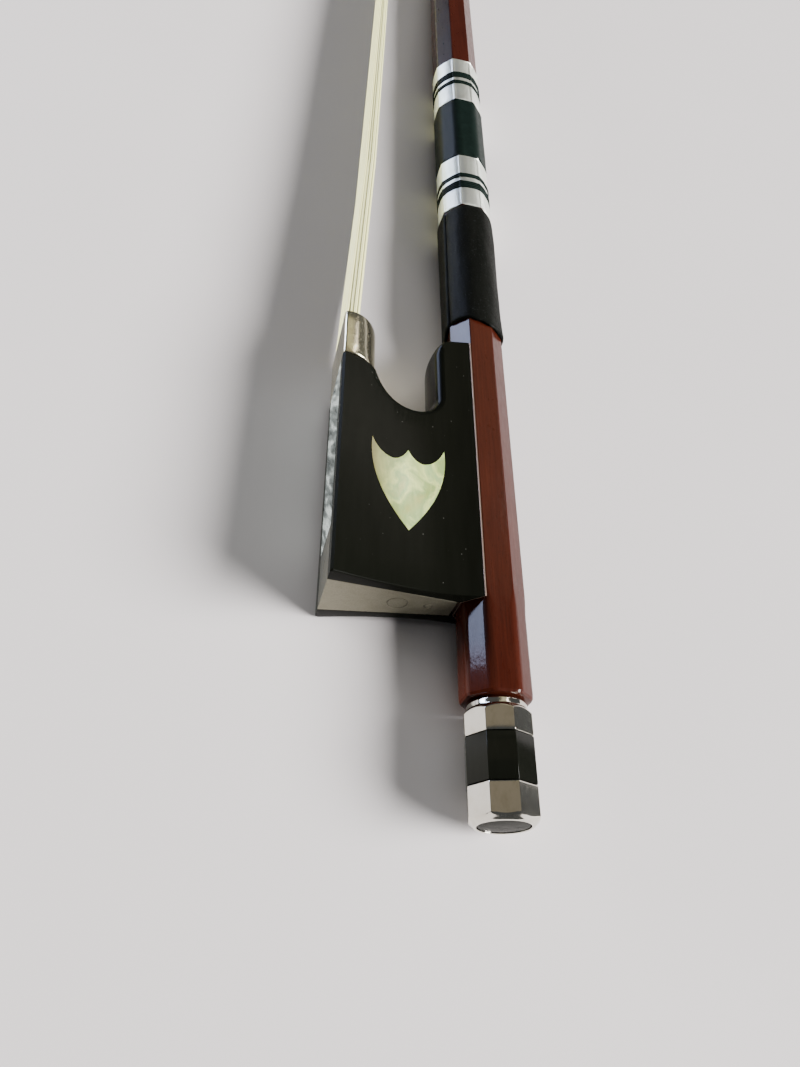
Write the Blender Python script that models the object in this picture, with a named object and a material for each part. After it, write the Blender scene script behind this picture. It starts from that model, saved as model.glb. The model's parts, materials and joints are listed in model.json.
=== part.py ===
"""Violin bow, lying on its side with the hair slack.

The pieces are drawn in the bow's own frame. Y runs along the straight handle of the
stick, from the button towards the head. X runs from the hair to the top of the stick,
and Z from the side that the bow lies on to the side that faces up. The frame's origin
is on the stick's axis, at the end that the button turns against. The empty named bow
carries everything: it rolls the bow onto its resting side and sets it on the ground.
All sizes are in metres.
"""
import bpy
import bmesh
from math import atan2
from math import cos
from math import pi
from math import radians
from math import sin
from math import sqrt
from math import tan
from mathutils import Vector

# Gaps between neighbours
SEAT_GAP = 0.0001
SLIDING_GAP = 0.0001
THREAD_GAP = 0.00007

# How far a cutter runs past what it cuts, and how far joined solids reach into each other
REACH = 0.002
OVERLAP = 0.0005

# Stick
STICK_LENGTH = 0.7060
STICK_FLATS = 0.00878
STICK_HEAD_FLATS = 0.0053
TAPER_START = 0.150
CAMBER_START = 0.170
CAMBER_RISE = 0.0235
CAMBER_STEPS = 18
SCREW_BORE_RADIUS = 0.0016
EYELET_ROOM_REAR = 0.0078
EYELET_ROOM_FRONT = 0.0115
EYELET_ROOM_SIDE = 0.0003
EYELET_ROOM_TOP = 0.0006

# Head, whose face looks at the hair
HEAD_FACE_DROP = 0.0202
HEAD_FACE_LENGTH = 0.0238
HEAD_FACE_WIDTH = 0.0098
HEAD_THROAT_LENGTH = 0.0160
HEAD_BEAK_LIFT = 0.0016
HEAD_LEAD = 0.0040
HEAD_FLARE_POWER = 1.7
HEAD_STEPS = 14
HEAD_MORTISE_START = 0.0032
HEAD_MORTISE_LENGTH = 0.0078
HEAD_MORTISE_WIDTH = 0.0058
HEAD_MORTISE_FLOOR_WIDTH = 0.0042
HEAD_MORTISE_DEPTH = 0.0060
HEAD_LINER_THICKNESS = 0.0006
HEAD_PLATE_THICKNESS = 0.0009

# Leather and foil on the grip
LEATHER_AHEAD = 0.00426
LEATHER_LENGTH = 0.0302
LEATHER_THICKNESS = 0.0005
FOIL_THICKNESS = 0.0002
FOIL_OUTER_LENGTH = 0.0052
STRIPE_WIDE_LENGTH = 0.0020
STRIPE_SPACING = 0.0011
STRIPE_NARROW_LENGTH = 0.0012
FOIL_INNER_LENGTH = 0.0056
CENTRE_BAND_LENGTH = 0.0190
STRIPE_THICKNESS = 0.0001
FOIL_GAP = 0.0001

# Frog
FROG_HEEL_Y = 0.01264
FROG_LENGTH = 0.0449
SLIDE_FACE_HEEL = 0.0224
SLIDE_FACE_FRONT = 0.0221
FROG_WIDTH_HEEL = 0.0131
FROG_WIDTH_FRONT = 0.0128
FROG_WIDTH_WAIST = 0.0079
FROG_WIDTH_CHEEK = 0.0089
FROG_WAIST_DROP = 0.0080
FROG_SIDE_POWER = 1.6
THROAT_DEPTH = 0.0147
THROAT_ROOF = 0.0076
THROAT_CORNER_RADIUS = 0.0029
THROAT_LEAD = 0.0004
THROAT_SWEEP = 0.0015
NOSE_TOP = 0.0044
NOSE_ROUNDING = 0.0031

# Ferrule, wedge and tongue
FERRULE_LENGTH = 0.0086
FERRULE_OVERHANG = 0.00036
FERRULE_HEIGHT = 0.0057
FERRULE_SIDE_HEIGHT = 0.0008
FERRULE_WALL = 0.0005
FERRULE_STEPS = 14
WEDGE_LENGTH = 0.0046
WEDGE_THICKNESS = 0.0007

# Slide, heel plate and inlays
SLIDE_WIDTH_HEEL = 0.0082
SLIDE_WIDTH_FRONT = 0.0098
PEARL_THICKNESS = 0.0006
BACKING_THICKNESS = 0.0006
DOVETAIL_FLARE = 0.0004
BACKING_FLARE = 0.00024
HEEL_PLATE_THICKNESS = 0.0008
HEEL_LEG_LENGTH = 0.0080
HEEL_PLATE_TOP_WIDTH = 0.0038
LINING_THICKNESS = 0.0004
LINING_PIN_REAR_Y = 0.0090
LINING_PIN_FRONT_Y = 0.0330
HEEL_PIN_UPPER_DROP = 0.0035
HEEL_PIN_LOWER_RISE = 0.0098
HEEL_PIN_LOWER_RADIUS = 0.0013
HEEL_PIN_LEG_Y = 0.0044
SHIELD_WIDTH = 0.0106
SHIELD_HEIGHT = 0.0142
SHIELD_CENTRE_DROP = 0.01205
SHIELD_TOP_Y = 0.0228
SHIELD_THICKNESS = 0.0005
SHIELD_NOTCH_SPAN = 0.0045
SHIELD_NOTCH_DEPTH = 0.0029
SHIELD_PEAK_DEPTH = 0.0009
SHIELD_ROOT = 0.002
SHIELD_SIDE_FULLNESS = 1.10
SHIELD_SIDE_DROP = 0.42
SHIELD_FOOT_FULLNESS = 0.62
SHIELD_FOOT_DROP = 0.72
SHIELD_SHOULDER_SHARE = 0.80
SHIELD_SHOULDER_DEPTH = 0.9
SHIELD_PEAK_SHARE = 0.4
SHIELD_PEAK_ROUND = 0.95
LEAST_LEAN = 0.4
PIN_RADIUS = 0.0005
PIN_LENGTH = 0.0030
PIN_SIDES = 12

# Hair
HAIR_THICKNESS = 0.0012
HAIR_WIDTH_FROG = 0.0108
HAIR_WIDTH_HEAD = 0.0054
HAIR_BEND_RADIUS = 0.0014
FROG_MORTISE_START = 0.0160
FROG_MORTISE_LENGTH = 0.0110
FROG_MORTISE_WIDTH = 0.0066
FROG_MORTISE_FLOOR = 0.0130
KNOT_LENGTH = 0.0034
KNOT_RADIUS = 0.0016
KNOT_ROOM = 0.0003

# Eyelet and screw
EYELET_Y = 0.0200
EYELET_LENGTH = 0.0046
EYELET_WIDTH = 0.0030
EYELET_TOP = 0.0020
EYELET_SHANK_RADIUS = 0.0015
EYELET_SHANK_LENGTH = 0.0058
THREAD_PITCH = 0.00075
THREAD_RADIUS = 0.0014
THREAD_DEPTH = 0.00028
THREAD_LEAD = 0.0065
THREAD_TAIL = 0.0012
THREAD_STEPS = 10
SHANK_RADIUS = 0.00145
PILOT_RADIUS = 0.0010
PILOT_DEPTH = 0.0070

# Button
BUTTON_FLATS = 0.0082
BUTTON_ROLL = 12.6
BUTTON_GAP = 0.0003
COLLAR_RADIUS = 0.0038
COLLAR_LENGTH = 0.0010
FRONT_RING_LENGTH = 0.0034
CORE_LENGTH = 0.0057
REAR_RING_LENGTH = 0.0044
RING_BEVEL = 0.0006
TENON_RADIUS = 0.0030
FRONT_TENON_LENGTH = 0.0020
EYE_RADIUS = 0.0031
EYE_THICKNESS = 0.0008
EYE_RIM = 0.0002
RING_PIN_RADIUS = 0.00035
RING_PIN_LENGTH = 0.0016
RING_PIN_SETBACK = 0.0013
ROUND_SIDES = 24

EIGHTH = radians(45)
HALF_EIGHTH = radians(22.5)

# Controls of the head's back and ridge curves, as shares of its throat's length, of the
# face's length and of the face's drop
HEAD_BACK_LEAD = 0.62
HEAD_BACK_BULGE = 0.08
HEAD_BACK_DROP = 0.36
HEAD_PEAK_SHARE = 0.42
HEAD_NOSE_DROP = 0.55

# Shares of the way across a section, from the hair side to the top, and the widths
# there of the head's face, from its rear edge to the tip of the beak
CORNER_SHARE = (1 - tan(HALF_EIGHTH)) / 2
SECTION_SHARES = (0.0, CORNER_SHARE / 2, CORNER_SHARE, 0.37, 0.45, 0.54, 0.62,
                  1 - CORNER_SHARE, 0.80, 0.90, 1.0)
FACE_WIDTHS = (0.76, 0.93, 1.0, 0.99, 0.93, 0.82, 0.71, 0.58, 0.44, 0.28, 0.13)


# Materials

def principled(name, colour, roughness, metallic=0.0):
    """A plain surface material."""
    material = bpy.data.materials.new(name)
    material.use_nodes = True
    shader = material.node_tree.nodes["Principled BSDF"]
    shader.inputs["Base Color"].default_value = (*colour, 1.0)
    shader.inputs["Roughness"].default_value = roughness
    shader.inputs["Metallic"].default_value = metallic
    material.diffuse_color = (*colour, 1.0)
    return material


def varnished_wood():
    return principled("varnished_wood", (0.16, 0.045, 0.022), 0.25)


def ebony():
    return principled("ebony", (0.018, 0.017, 0.015), 0.38)


def box_wood():
    return principled("box_wood", (0.42, 0.29, 0.16), 0.60)


def pearl():
    return principled("pearl", (0.60, 0.63, 0.42), 0.22)


def slide_pearl():
    return principled("slide_pearl", (0.32, 0.36, 0.37), 0.22)


def nickel_silver():
    return principled("nickel_silver", (0.60, 0.58, 0.50), 0.24, 1.0)


def silver_foil():
    return principled("silver_foil", (0.78, 0.79, 0.74), 0.28, 1.0)


def brass():
    return principled("brass", (0.66, 0.47, 0.20), 0.32, 1.0)


def steel():
    return principled("steel", (0.48, 0.49, 0.50), 0.30, 1.0)


def dark_silk():
    return principled("dark_silk", (0.022, 0.045, 0.040), 0.34)


def black_leather():
    return principled("black_leather", (0.014, 0.014, 0.015), 0.55)


def white_bone():
    return principled("white_bone", (0.78, 0.75, 0.66), 0.35)


def horse_hair():
    return principled("horse_hair", (0.78, 0.76, 0.62), 0.50)


def tied_thread():
    return principled("tied_thread", (0.30, 0.05, 0.04), 0.80)


# Mesh helpers

def add_solid(name, vertices, faces, material, parent):
    """One closed body as an object, with its faces turned outwards."""
    mesh = bpy.data.meshes.new(name)
    mesh.from_pydata([tuple(point) for point in vertices], [], faces)
    body = bmesh.new()
    body.from_mesh(mesh)
    bmesh.ops.recalc_face_normals(body, faces=body.faces)
    body.to_mesh(mesh)
    body.free()
    obj = bpy.data.objects.new(name, mesh)
    bpy.context.scene.collection.objects.link(obj)
    if material:
        mesh.materials.append(material)
    obj.parent = parent
    return obj


def add_cutter(name, vertices, faces, parent):
    """A closed body that only cuts, and is no part of the bow."""
    obj = add_solid(name, vertices, faces, None, parent)
    obj.hide_render = True
    obj.display_type = "WIRE"
    return obj


def combine(target, other, operation="DIFFERENCE"):
    """Cut, join or overlap one object with another."""
    modifier = target.modifiers.new(other.name, "BOOLEAN")
    modifier.operation = operation
    modifier.object = other
    modifier.solver = "EXACT"


def smooth(obj, angle=35):
    """Shade a round piece smooth, with sharp edges kept."""
    obj.data.shade_smooth()
    obj.data.set_sharp_from_angle(angle=radians(angle))


def skin(rings):
    """Walls between rings that have equal point counts."""
    count = len(rings[0])
    walls = []
    for ring in range(len(rings) - 1):
        low = ring * count
        high = low + count
        for i in range(count):
            j = (i + 1) % count
            walls.append((low + i, low + j, high + j, high + i))
    return walls


def loft(rings):
    """A closed body through rings, with a flat cap at each end."""
    count = len(rings[0])
    vertices = [point for ring in rings for point in ring]
    last = len(vertices) - count
    faces = skin(rings)
    faces.append(tuple(range(count)))
    faces.append(tuple(range(last, last + count)))
    return vertices, faces


def strip_loft(rings):
    """A closed body through rings whose ends are capped with strips from side to side."""
    count = len(rings[0])
    half = count // 2
    vertices = [point for ring in rings for point in ring]
    faces = skin(rings)
    for first in (0, len(vertices) - count):
        for i in range(half - 1):
            far = count - 1 - i
            faces.append((first + i, first + i + 1, first + far - 1, first + far))
    return vertices, faces


def pipe(outer_rings, inner_rings):
    """A closed body between an outer skin and an inner one, open at both ends."""
    count = len(outer_rings[0])
    vertices = [point for ring in outer_rings + inner_rings for point in ring]
    start = len(outer_rings) * count
    faces = skin(outer_rings)
    for wall in skin(inner_rings):
        faces.append(tuple(start + index for index in wall))
    outer_last = start - count
    inner_last = len(vertices) - count
    for i in range(count):
        j = (i + 1) % count
        faces.append((i, j, start + j, start + i))
        faces.append((outer_last + i, outer_last + j, inner_last + j, inner_last + i))
    return vertices, faces


def across(outline, y):
    """An outline of (x, z) points as a ring at one place along the stick."""
    return [Vector((x, y, z)) for x, z in outline]


def octagon(flats, roll=0.0):
    """Corners of a regular octagon, as (x, z) points."""
    radius = flats / 2 / cos(HALF_EIGHTH)
    turns = [HALF_EIGHTH + EIGHTH * corner + radians(roll) for corner in range(8)]
    return [(radius * cos(turn), radius * sin(turn)) for turn in turns]


def circle(radius):
    """Points of a circle, as (x, z) points."""
    angles = [2 * pi * side / ROUND_SIDES for side in range(ROUND_SIDES)]
    return [(radius * cos(angle), radius * sin(angle)) for angle in angles]


def bar(outline, start, end):
    """An outline of (x, z) points drawn out along the stick."""
    return loft([across(outline, start), across(outline, end)])


def box(low, high):
    """A plain block between two corners."""
    outline = [(low[0], low[2]), (high[0], low[2]), (high[0], high[2]), (low[0], high[2])]
    return bar(outline, low[1], high[1])


def rod(radius, start, end, sides=PIN_SIDES):
    """A round rod from one point to another."""
    along = (Vector(end) - Vector(start)).normalized()
    aside = along.orthogonal().normalized()
    third = along.cross(aside)
    rings = []
    for centre in (Vector(start), Vector(end)):
        ring = []
        for side in range(sides):
            angle = 2 * pi * side / sides
            ring.append(centre + radius * (aside * cos(angle) + third * sin(angle)))
        rings.append(ring)
    return loft(rings)


def curve_point(controls, share):
    """A point of the curve that a few control points draw."""
    points = [Vector(control) for control in controls]
    while len(points) > 1:
        points = [a.lerp(b, share) for a, b in zip(points, points[1:])]
    return points[0]


def curve_points(controls, steps):
    return [curve_point(controls, step / steps) for step in range(steps + 1)]


# Shape of the stick and of the head

def stick_flats(y):
    """Width across the stick's flats, at a place along it."""
    if y <= TAPER_START:
        return STICK_FLATS
    share = (y - TAPER_START) / (STICK_LENGTH - TAPER_START)
    return STICK_FLATS + (STICK_HEAD_FLATS - STICK_FLATS) * share


def camber(y):
    """Rise of the stick's axis over the line of the handle."""
    if y <= CAMBER_START:
        return 0.0
    return CAMBER_RISE * ((y - CAMBER_START) / (STICK_LENGTH - CAMBER_START)) ** 2


def camber_slope(y):
    if y <= CAMBER_START:
        return 0.0
    span = STICK_LENGTH - CAMBER_START
    return 2 * CAMBER_RISE * (y - CAMBER_START) / span ** 2


def octagon_width(share):
    """Width of an octagon at a share of the way across it, where 1 is its full width."""
    corner = tan(HALF_EIGHTH)
    inward = min(share, 1 - share) / CORNER_SHARE
    return min(1.0, corner + (1 - corner) * inward)


def stick_edges(y):
    """The points of the stick's hair side and of its top, at a place along it."""
    slope = camber_slope(y)
    aside = Vector((1, -slope, 0)).normalized() * stick_flats(y) / 2
    axis = Vector((camber(y), y, 0))
    return axis - aside, axis + aside


def stick_ring(y):
    """The octagon of the stick at a place along it."""
    back, top = stick_edges(y)
    half = stick_flats(y) / 2
    ring = []
    for side in (1, -1):
        for share in SECTION_SHARES[::side]:
            width = half * octagon_width(share)
            ring.append(back.lerp(top, share) + Vector((0, 0, side * width)))
    return ring


def hair_start():
    """The middle of the hair where it leaves the ferrule, in the bow's frame."""
    inside = SLIDE_FACE_FRONT - FERRULE_WALL - SEAT_GAP
    return Vector((-inside + HAIR_THICKNESS / 2, FROG_HEEL_Y + ferrule_front(), 0))


def hair_depth():
    """How far the hair's middle lies from the wood of the head's face."""
    layers = HEAD_LINER_THICKNESS + HEAD_PLATE_THICKNESS + 3 * SEAT_GAP
    return layers + HAIR_THICKNESS / 2


def head_directions():
    """Unit vectors of the head: along the hair towards the tip, and towards the hair."""
    axis = Vector((camber(STICK_LENGTH), STICK_LENGTH, 0))
    start = hair_start()
    drop = HEAD_FACE_DROP + hair_depth()
    span = axis - start
    tilt = atan2(span.x, span.y) - atan2(drop, sqrt(span.length_squared - drop ** 2))
    return Vector((sin(tilt), cos(tilt), 0)), Vector((-cos(tilt), sin(tilt), 0))


def head_point(along, down, side=0.0):
    """A point of the head, from its distances past the face's rear edge and down."""
    forward, downward = head_directions()
    axis = Vector((camber(STICK_LENGTH), STICK_LENGTH, 0))
    return axis + forward * along + downward * down + Vector((0, 0, side))


def head_place(point):
    """A point of the bow's side view as distances along the head and down."""
    forward, downward = head_directions()
    reach = point - Vector((camber(STICK_LENGTH), STICK_LENGTH, 0))
    return Vector((reach.dot(forward), reach.dot(downward)))


def beak_lift(share):
    """Rise of the face towards the tip of the beak."""
    return HEAD_BEAK_LIFT * share ** 3


def head_ring(share):
    """A ring of the head, at a share of the way from the stick to the face."""
    start = STICK_LENGTH - HEAD_THROAT_LENGTH
    half = stick_flats(start) / 2
    face = HEAD_FACE_DROP
    length = HEAD_FACE_LENGTH
    low, high = (head_place(edge) for edge in stick_edges(start))
    peak = length * HEAD_PEAK_SHARE
    throat = low + Vector((HEAD_THROAT_LENGTH * HEAD_BACK_LEAD, 0))
    back_curve = [low, throat, (length * HEAD_BACK_BULGE, face * HEAD_BACK_DROP), (0, face)]
    ridge_curve = [high, high + Vector((HEAD_THROAT_LENGTH, 0)), (peak, high.y),
                   (peak, face * HEAD_NOSE_DROP), (length, face)]
    back = curve_point(back_curve, share)
    ridge = curve_point(ridge_curve, share)
    half_width = half + (HEAD_FACE_WIDTH / 2 - half) * share ** HEAD_FLARE_POWER
    ring = []
    for side in (1, -1):
        for part, face_width in list(zip(SECTION_SHARES, FACE_WIDTHS))[::side]:
            spot = back.lerp(ridge, part)
            width = octagon_width(part) * (1 - share) + face_width * share
            down = spot.y - beak_lift(part) * share
            ring.append(head_point(spot.x, down, side * half_width * width))
    return ring


def mortise_floor():
    """How far down from the axis the floor of the head's pocket lies."""
    return HEAD_FACE_DROP - HEAD_MORTISE_DEPTH


def mortise_half(down):
    """Half the width of the head's pocket, which widens from its floor to the face."""
    share = (down - mortise_floor()) / HEAD_MORTISE_DEPTH
    return (HEAD_MORTISE_FLOOR_WIDTH + (HEAD_MORTISE_WIDTH - HEAD_MORTISE_FLOOR_WIDTH) * share) / 2


def head_block(along, down, gap):
    """A block as wide as the head's pocket less a gap, between pairs of distances
    along the face and down from the axis."""
    corners = [(along[0], down[0]), (along[1], down[0]), (along[1], down[1]), (along[0], down[1])]
    rings = []
    for side in (-1, 1):
        rings.append([head_point(u, h, side * (mortise_half(h) - gap)) for u, h in corners])
    return loft(rings)


def face_sheet(depth, thickness):
    """A sheet of the face's outline, at a depth from the wood towards the hair."""
    rings = []
    for share, width in zip(SECTION_SHARES, FACE_WIDTHS):
        along = HEAD_FACE_LENGTH * share
        near = HEAD_FACE_DROP + depth - beak_lift(share)
        half = HEAD_FACE_WIDTH / 2 * width
        rings.append([head_point(along, near, half), head_point(along, near + thickness, half),
                      head_point(along, near + thickness, -half), head_point(along, near, -half)])
    return loft(rings)


# Pieces of the stick

def make_stick(bow):
    """The octagonal stick with its head, bored for the screw and the hair."""
    rings = [stick_ring(0.0), stick_ring(TAPER_START)]
    end = STICK_LENGTH - HEAD_THROAT_LENGTH - HEAD_LEAD
    for step in range(CAMBER_STEPS + 1):
        rings.append(stick_ring(CAMBER_START + (end - CAMBER_START) * step / CAMBER_STEPS))
    for step in range(HEAD_STEPS + 1):
        rings.append(head_ring(step / HEAD_STEPS))
    stick = add_solid("stick", *strip_loft(rings), varnished_wood(), bow)
    bore = bar(circle(SCREW_BORE_RADIUS), -REACH, slot_start() + REACH)
    combine(stick, add_cutter("screw_bore", *bore, bow))
    pilot = bar(circle(PILOT_RADIUS + SLIDING_GAP), slot_end() - REACH, pilot_end() + REACH)
    combine(stick, add_cutter("pilot_bore", *pilot, bow))
    half = EYELET_WIDTH / 2 + EYELET_ROOM_SIDE
    slot = box((-STICK_FLATS, slot_start(), -half),
               (EYELET_TOP + EYELET_ROOM_TOP, slot_end(), half))
    combine(stick, add_cutter("eyelet_slot", *slot, bow))
    combine(stick, add_cutter("head_mortise", *head_mortise(REACH), bow))
    smooth(stick, 25)


def slot_start():
    """Y of the rear end of the stick's slot, which leaves the eyelet room to travel."""
    return FROG_HEEL_Y + EYELET_Y - EYELET_LENGTH / 2 - EYELET_ROOM_REAR


def slot_end():
    return FROG_HEEL_Y + EYELET_Y + EYELET_LENGTH / 2 + EYELET_ROOM_FRONT


def head_mortise(overshoot):
    """The pocket for the hair in the head."""
    along = (HEAD_MORTISE_START, HEAD_MORTISE_START + HEAD_MORTISE_LENGTH)
    return head_block(along, (mortise_floor(), HEAD_FACE_DROP + overshoot), 0.0)


def make_face_sheets(bow):
    """The dark liner and the white plate on the head's face, with the hair's window."""
    liner = add_solid("head_liner", *face_sheet(SEAT_GAP, HEAD_LINER_THICKNESS), ebony(), bow)
    depth = 2 * SEAT_GAP + HEAD_LINER_THICKNESS
    plate = add_solid("head_plate", *face_sheet(depth, HEAD_PLATE_THICKNESS), white_bone(), bow)
    window = add_cutter("hair_window", *head_mortise(2 * REACH), bow)
    combine(liner, window)
    combine(plate, window)


def make_head_filling(bow):
    """The knot of the hair and the plug that holds it, in the head's pocket."""
    start = HEAD_MORTISE_START + SEAT_GAP
    end = HEAD_MORTISE_START + HEAD_MORTISE_LENGTH
    floor = mortise_floor() + SEAT_GAP
    split = end - 2 * KNOT_RADIUS - KNOT_ROOM
    plug = head_block((start, split), (floor, HEAD_FACE_DROP), SEAT_GAP)
    add_solid("head_plug", *plug, box_wood(), bow)
    centre = (split + end) / 2
    low = head_point(centre, floor)
    high = head_point(centre, floor + KNOT_LENGTH)
    knot = add_solid("hair_head_knot", *rod(KNOT_RADIUS, low, high), tied_thread(), bow)
    smooth(knot)


def sleeve(start, length, gap, thickness):
    """An octagonal sleeve round the handle."""
    inner = STICK_FLATS + 2 * gap
    outer = inner + 2 * thickness
    outer_rings = [across(octagon(outer), y) for y in (start, start + length)]
    inner_rings = [across(octagon(inner), y) for y in (start, start + length)]
    return pipe(outer_rings, inner_rings)


def leather_start():
    """Y of the leather's rear end, ahead of the frog and clear of its travel."""
    return FROG_HEEL_Y + FROG_LENGTH + LEATHER_AHEAD


def make_leather(bow):
    """The thumb leather round the stick."""
    shell = sleeve(leather_start(), LEATHER_LENGTH, SEAT_GAP, LEATHER_THICKNESS)
    add_solid("thumb_leather", *shell, black_leather(), bow)


def make_winding(bow):
    """The silver foil of the grip, its dark middle band and its narrow dark stripes."""
    foil = silver_foil()
    silk = dark_silk()
    striped = STRIPE_WIDE_LENGTH + STRIPE_SPACING + STRIPE_NARROW_LENGTH
    foil_length = FOIL_OUTER_LENGTH + striped + FOIL_INNER_LENGTH
    rear = leather_start() + LEATHER_LENGTH + FOIL_GAP
    centre = rear + foil_length + FOIL_GAP
    front = centre + CENTRE_BAND_LENGTH + FOIL_GAP
    over_foil = SEAT_GAP + FOIL_THICKNESS + FOIL_GAP / 2
    add_solid("grip_foil_rear", *sleeve(rear, foil_length, SEAT_GAP, FOIL_THICKNESS), foil, bow)
    middle = sleeve(centre, CENTRE_BAND_LENGTH, SEAT_GAP, FOIL_THICKNESS)
    add_solid("grip_centre_band", *middle, silk, bow)
    add_solid("grip_foil_front", *sleeve(front, foil_length, SEAT_GAP, FOIL_THICKNESS), foil, bow)
    narrow_offset = FOIL_OUTER_LENGTH + STRIPE_WIDE_LENGTH + STRIPE_SPACING
    stripes = [
        ("grip_stripe_rear_wide", rear + FOIL_OUTER_LENGTH, STRIPE_WIDE_LENGTH),
        ("grip_stripe_rear_narrow", rear + narrow_offset, STRIPE_NARROW_LENGTH),
        ("grip_stripe_front_narrow", front + FOIL_INNER_LENGTH, STRIPE_NARROW_LENGTH),
        ("grip_stripe_front_wide",
         front + FOIL_INNER_LENGTH + STRIPE_NARROW_LENGTH + STRIPE_SPACING, STRIPE_WIDE_LENGTH),
    ]
    for name, start, length in stripes:
        add_solid(name, *sleeve(start, length, over_foil, STRIPE_THICKNESS), silk, bow)


# Shape of the frog, whose own Y starts at its heel

def ferrule_front():
    return FROG_LENGTH + FERRULE_OVERHANG


def ferrule_rear():
    return ferrule_front() - FERRULE_LENGTH


def slide_face(y):
    """X of the frog's outer face, which carries the pearl slide."""
    return -(SLIDE_FACE_HEEL + (SLIDE_FACE_FRONT - SLIDE_FACE_HEEL) * y / FROG_LENGTH)


def slide_half_width(y):
    return (SLIDE_WIDTH_HEEL + (SLIDE_WIDTH_FRONT - SLIDE_WIDTH_HEEL) * y / FROG_LENGTH) / 2


def channel_offset():
    """Distance of the frog's channel faces from the stick's axis."""
    return STICK_FLATS / 2 + SLIDING_GAP + LINING_THICKNESS + SEAT_GAP


def cheek_x(offset):
    """X where a sloping face at an offset from the axis meets the side of the cheek."""
    return FROG_WIDTH_CHEEK / 2 - sqrt(2) * offset


def side_half_width(x, y):
    """Half the frog's thickness, hollow between the slide and the cheeks."""
    waist = FROG_WIDTH_WAIST / 2
    if x > -FROG_WAIST_DROP:
        share = (x + FROG_WAIST_DROP) / (cheek_x(channel_offset()) + FROG_WAIST_DROP)
        return waist + (FROG_WIDTH_CHEEK / 2 - waist) * share ** 2
    edge = FROG_WIDTH_HEEL + (FROG_WIDTH_FRONT - FROG_WIDTH_HEEL) * y / FROG_LENGTH
    share = (x + FROG_WAIST_DROP) / (slide_face(y) + FROG_WAIST_DROP)
    return waist + (edge / 2 - waist) * share ** FROG_SIDE_POWER


def side_curve(y, steps=9):
    """The frog's side from the slide face to the cheek, as (x, half thickness) points."""
    low = slide_face(y)
    high = cheek_x(channel_offset())
    points = []
    for step in range(steps + 1):
        x = low + (high - low) * step / steps
        points.append((x, side_half_width(x, y)))
    return points


def frog_section(y):
    """The frog's whole section, with its hollow sides and the channel for the stick."""
    side = side_curve(y)
    channel = channel_offset()
    corner = channel * tan(HALF_EIGHTH)
    middle = [(-channel, corner), (-channel, -corner)]
    return side + middle + [(x, -z) for x, z in reversed(side)]


def ferrule_outline(inset):
    """The ferrule's section: flat on the hair side, arched on the other."""
    flat = -SLIDE_FACE_FRONT + inset
    base = -SLIDE_FACE_FRONT + FERRULE_SIDE_HEIGHT + inset
    return arch(flat, base, -SLIDE_FACE_FRONT + FERRULE_HEIGHT - inset,
                FROG_WIDTH_FRONT / 2 - inset)


def arch(flat, base, crown, half_width):
    """A flat side with an arch over it, as (x, z) points."""
    points = [(flat, half_width)]
    for step in range(FERRULE_STEPS + 1):
        angle = pi * step / FERRULE_STEPS
        points.append((base + (crown - base) * sin(angle), half_width * cos(angle)))
    points.append((flat, -half_width))
    return points


def throat_outline():
    """The thumb hollow and the nose over it, as (x, y) points from the side."""
    floor = FROG_LENGTH - THROAT_DEPTH
    beyond = ferrule_front() + REACH
    crown = -SLIDE_FACE_FRONT + FERRULE_HEIGHT
    nose = [(-NOSE_TOP, FROG_LENGTH), (-THROAT_ROOF, FROG_LENGTH),
            (-THROAT_ROOF, FROG_LENGTH - NOSE_ROUNDING)]
    points = [(-NOSE_TOP, beyond)]
    points += [tuple(point) for point in curve_points(nose, 6)]
    radius = THROAT_CORNER_RADIUS
    for step in range(5):
        angle = EIGHTH / 2 * step
        points.append((-THROAT_ROOF - radius + radius * cos(angle),
                       floor + radius - radius * sin(angle)))
    sweep = [(-THROAT_ROOF - radius, floor), (crown + THROAT_SWEEP, floor),
             (crown, ferrule_rear() - THROAT_LEAD)]
    points += [tuple(point) for point in curve_points(sweep, 8)[1:]]
    points.append((crown, beyond))
    return points


def throat_cutter():
    """The thumb hollow, straight through the frog from side to side."""
    reach = FROG_WIDTH_HEEL
    rings = [[Vector((x, y, z)) for x, y in throat_outline()] for z in (-reach, reach)]
    return loft(rings)


def tongue_cutter():
    """What rounds the frog towards the ferrule and steps it down inside the ferrule."""
    start = FROG_LENGTH - THROAT_DEPTH + THROAT_LEAD
    beyond = ferrule_front() + REACH
    high = -THROAT_ROOF - THROAT_CORNER_RADIUS
    wide = arch(-SLIDE_FACE_HEEL - REACH, -SLIDE_FACE_FRONT + FERRULE_SIDE_HEIGHT,
                high - THROAT_LEAD, FROG_WIDTH_HEEL / 2 + THROAT_SWEEP)
    count = len(wide)
    reach = FROG_WIDTH_HEEL
    low = -SLIDE_FACE_HEEL - 2 * REACH
    frame = [(low, reach)]
    for step in range(count - 2):
        frame.append((high, reach - 2 * reach * step / (count - 3)))
    frame.append((low, -reach))
    inset = FERRULE_WALL + SEAT_GAP
    inner = [across(wide, start), across(ferrule_outline(0.0), ferrule_rear()),
             across(ferrule_outline(inset), ferrule_rear()),
             across(ferrule_outline(inset), beyond)]
    return pipe([across(frame, start), across(frame, beyond)], inner)


# Pieces of the frog

def slide_groove(low, high, depth):
    """The dovetailed groove of the slide, between two places along the frog."""
    rings = []
    for y in (low, high):
        half = slide_half_width(y) + SEAT_GAP
        wide = half + DOVETAIL_FLARE
        near = slide_face(y) - REACH
        deep = slide_face(y) + depth
        rings.append(across([(near, half), (deep, wide), (deep, -wide), (near, -half)], y))
    return loft(rings)


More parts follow.
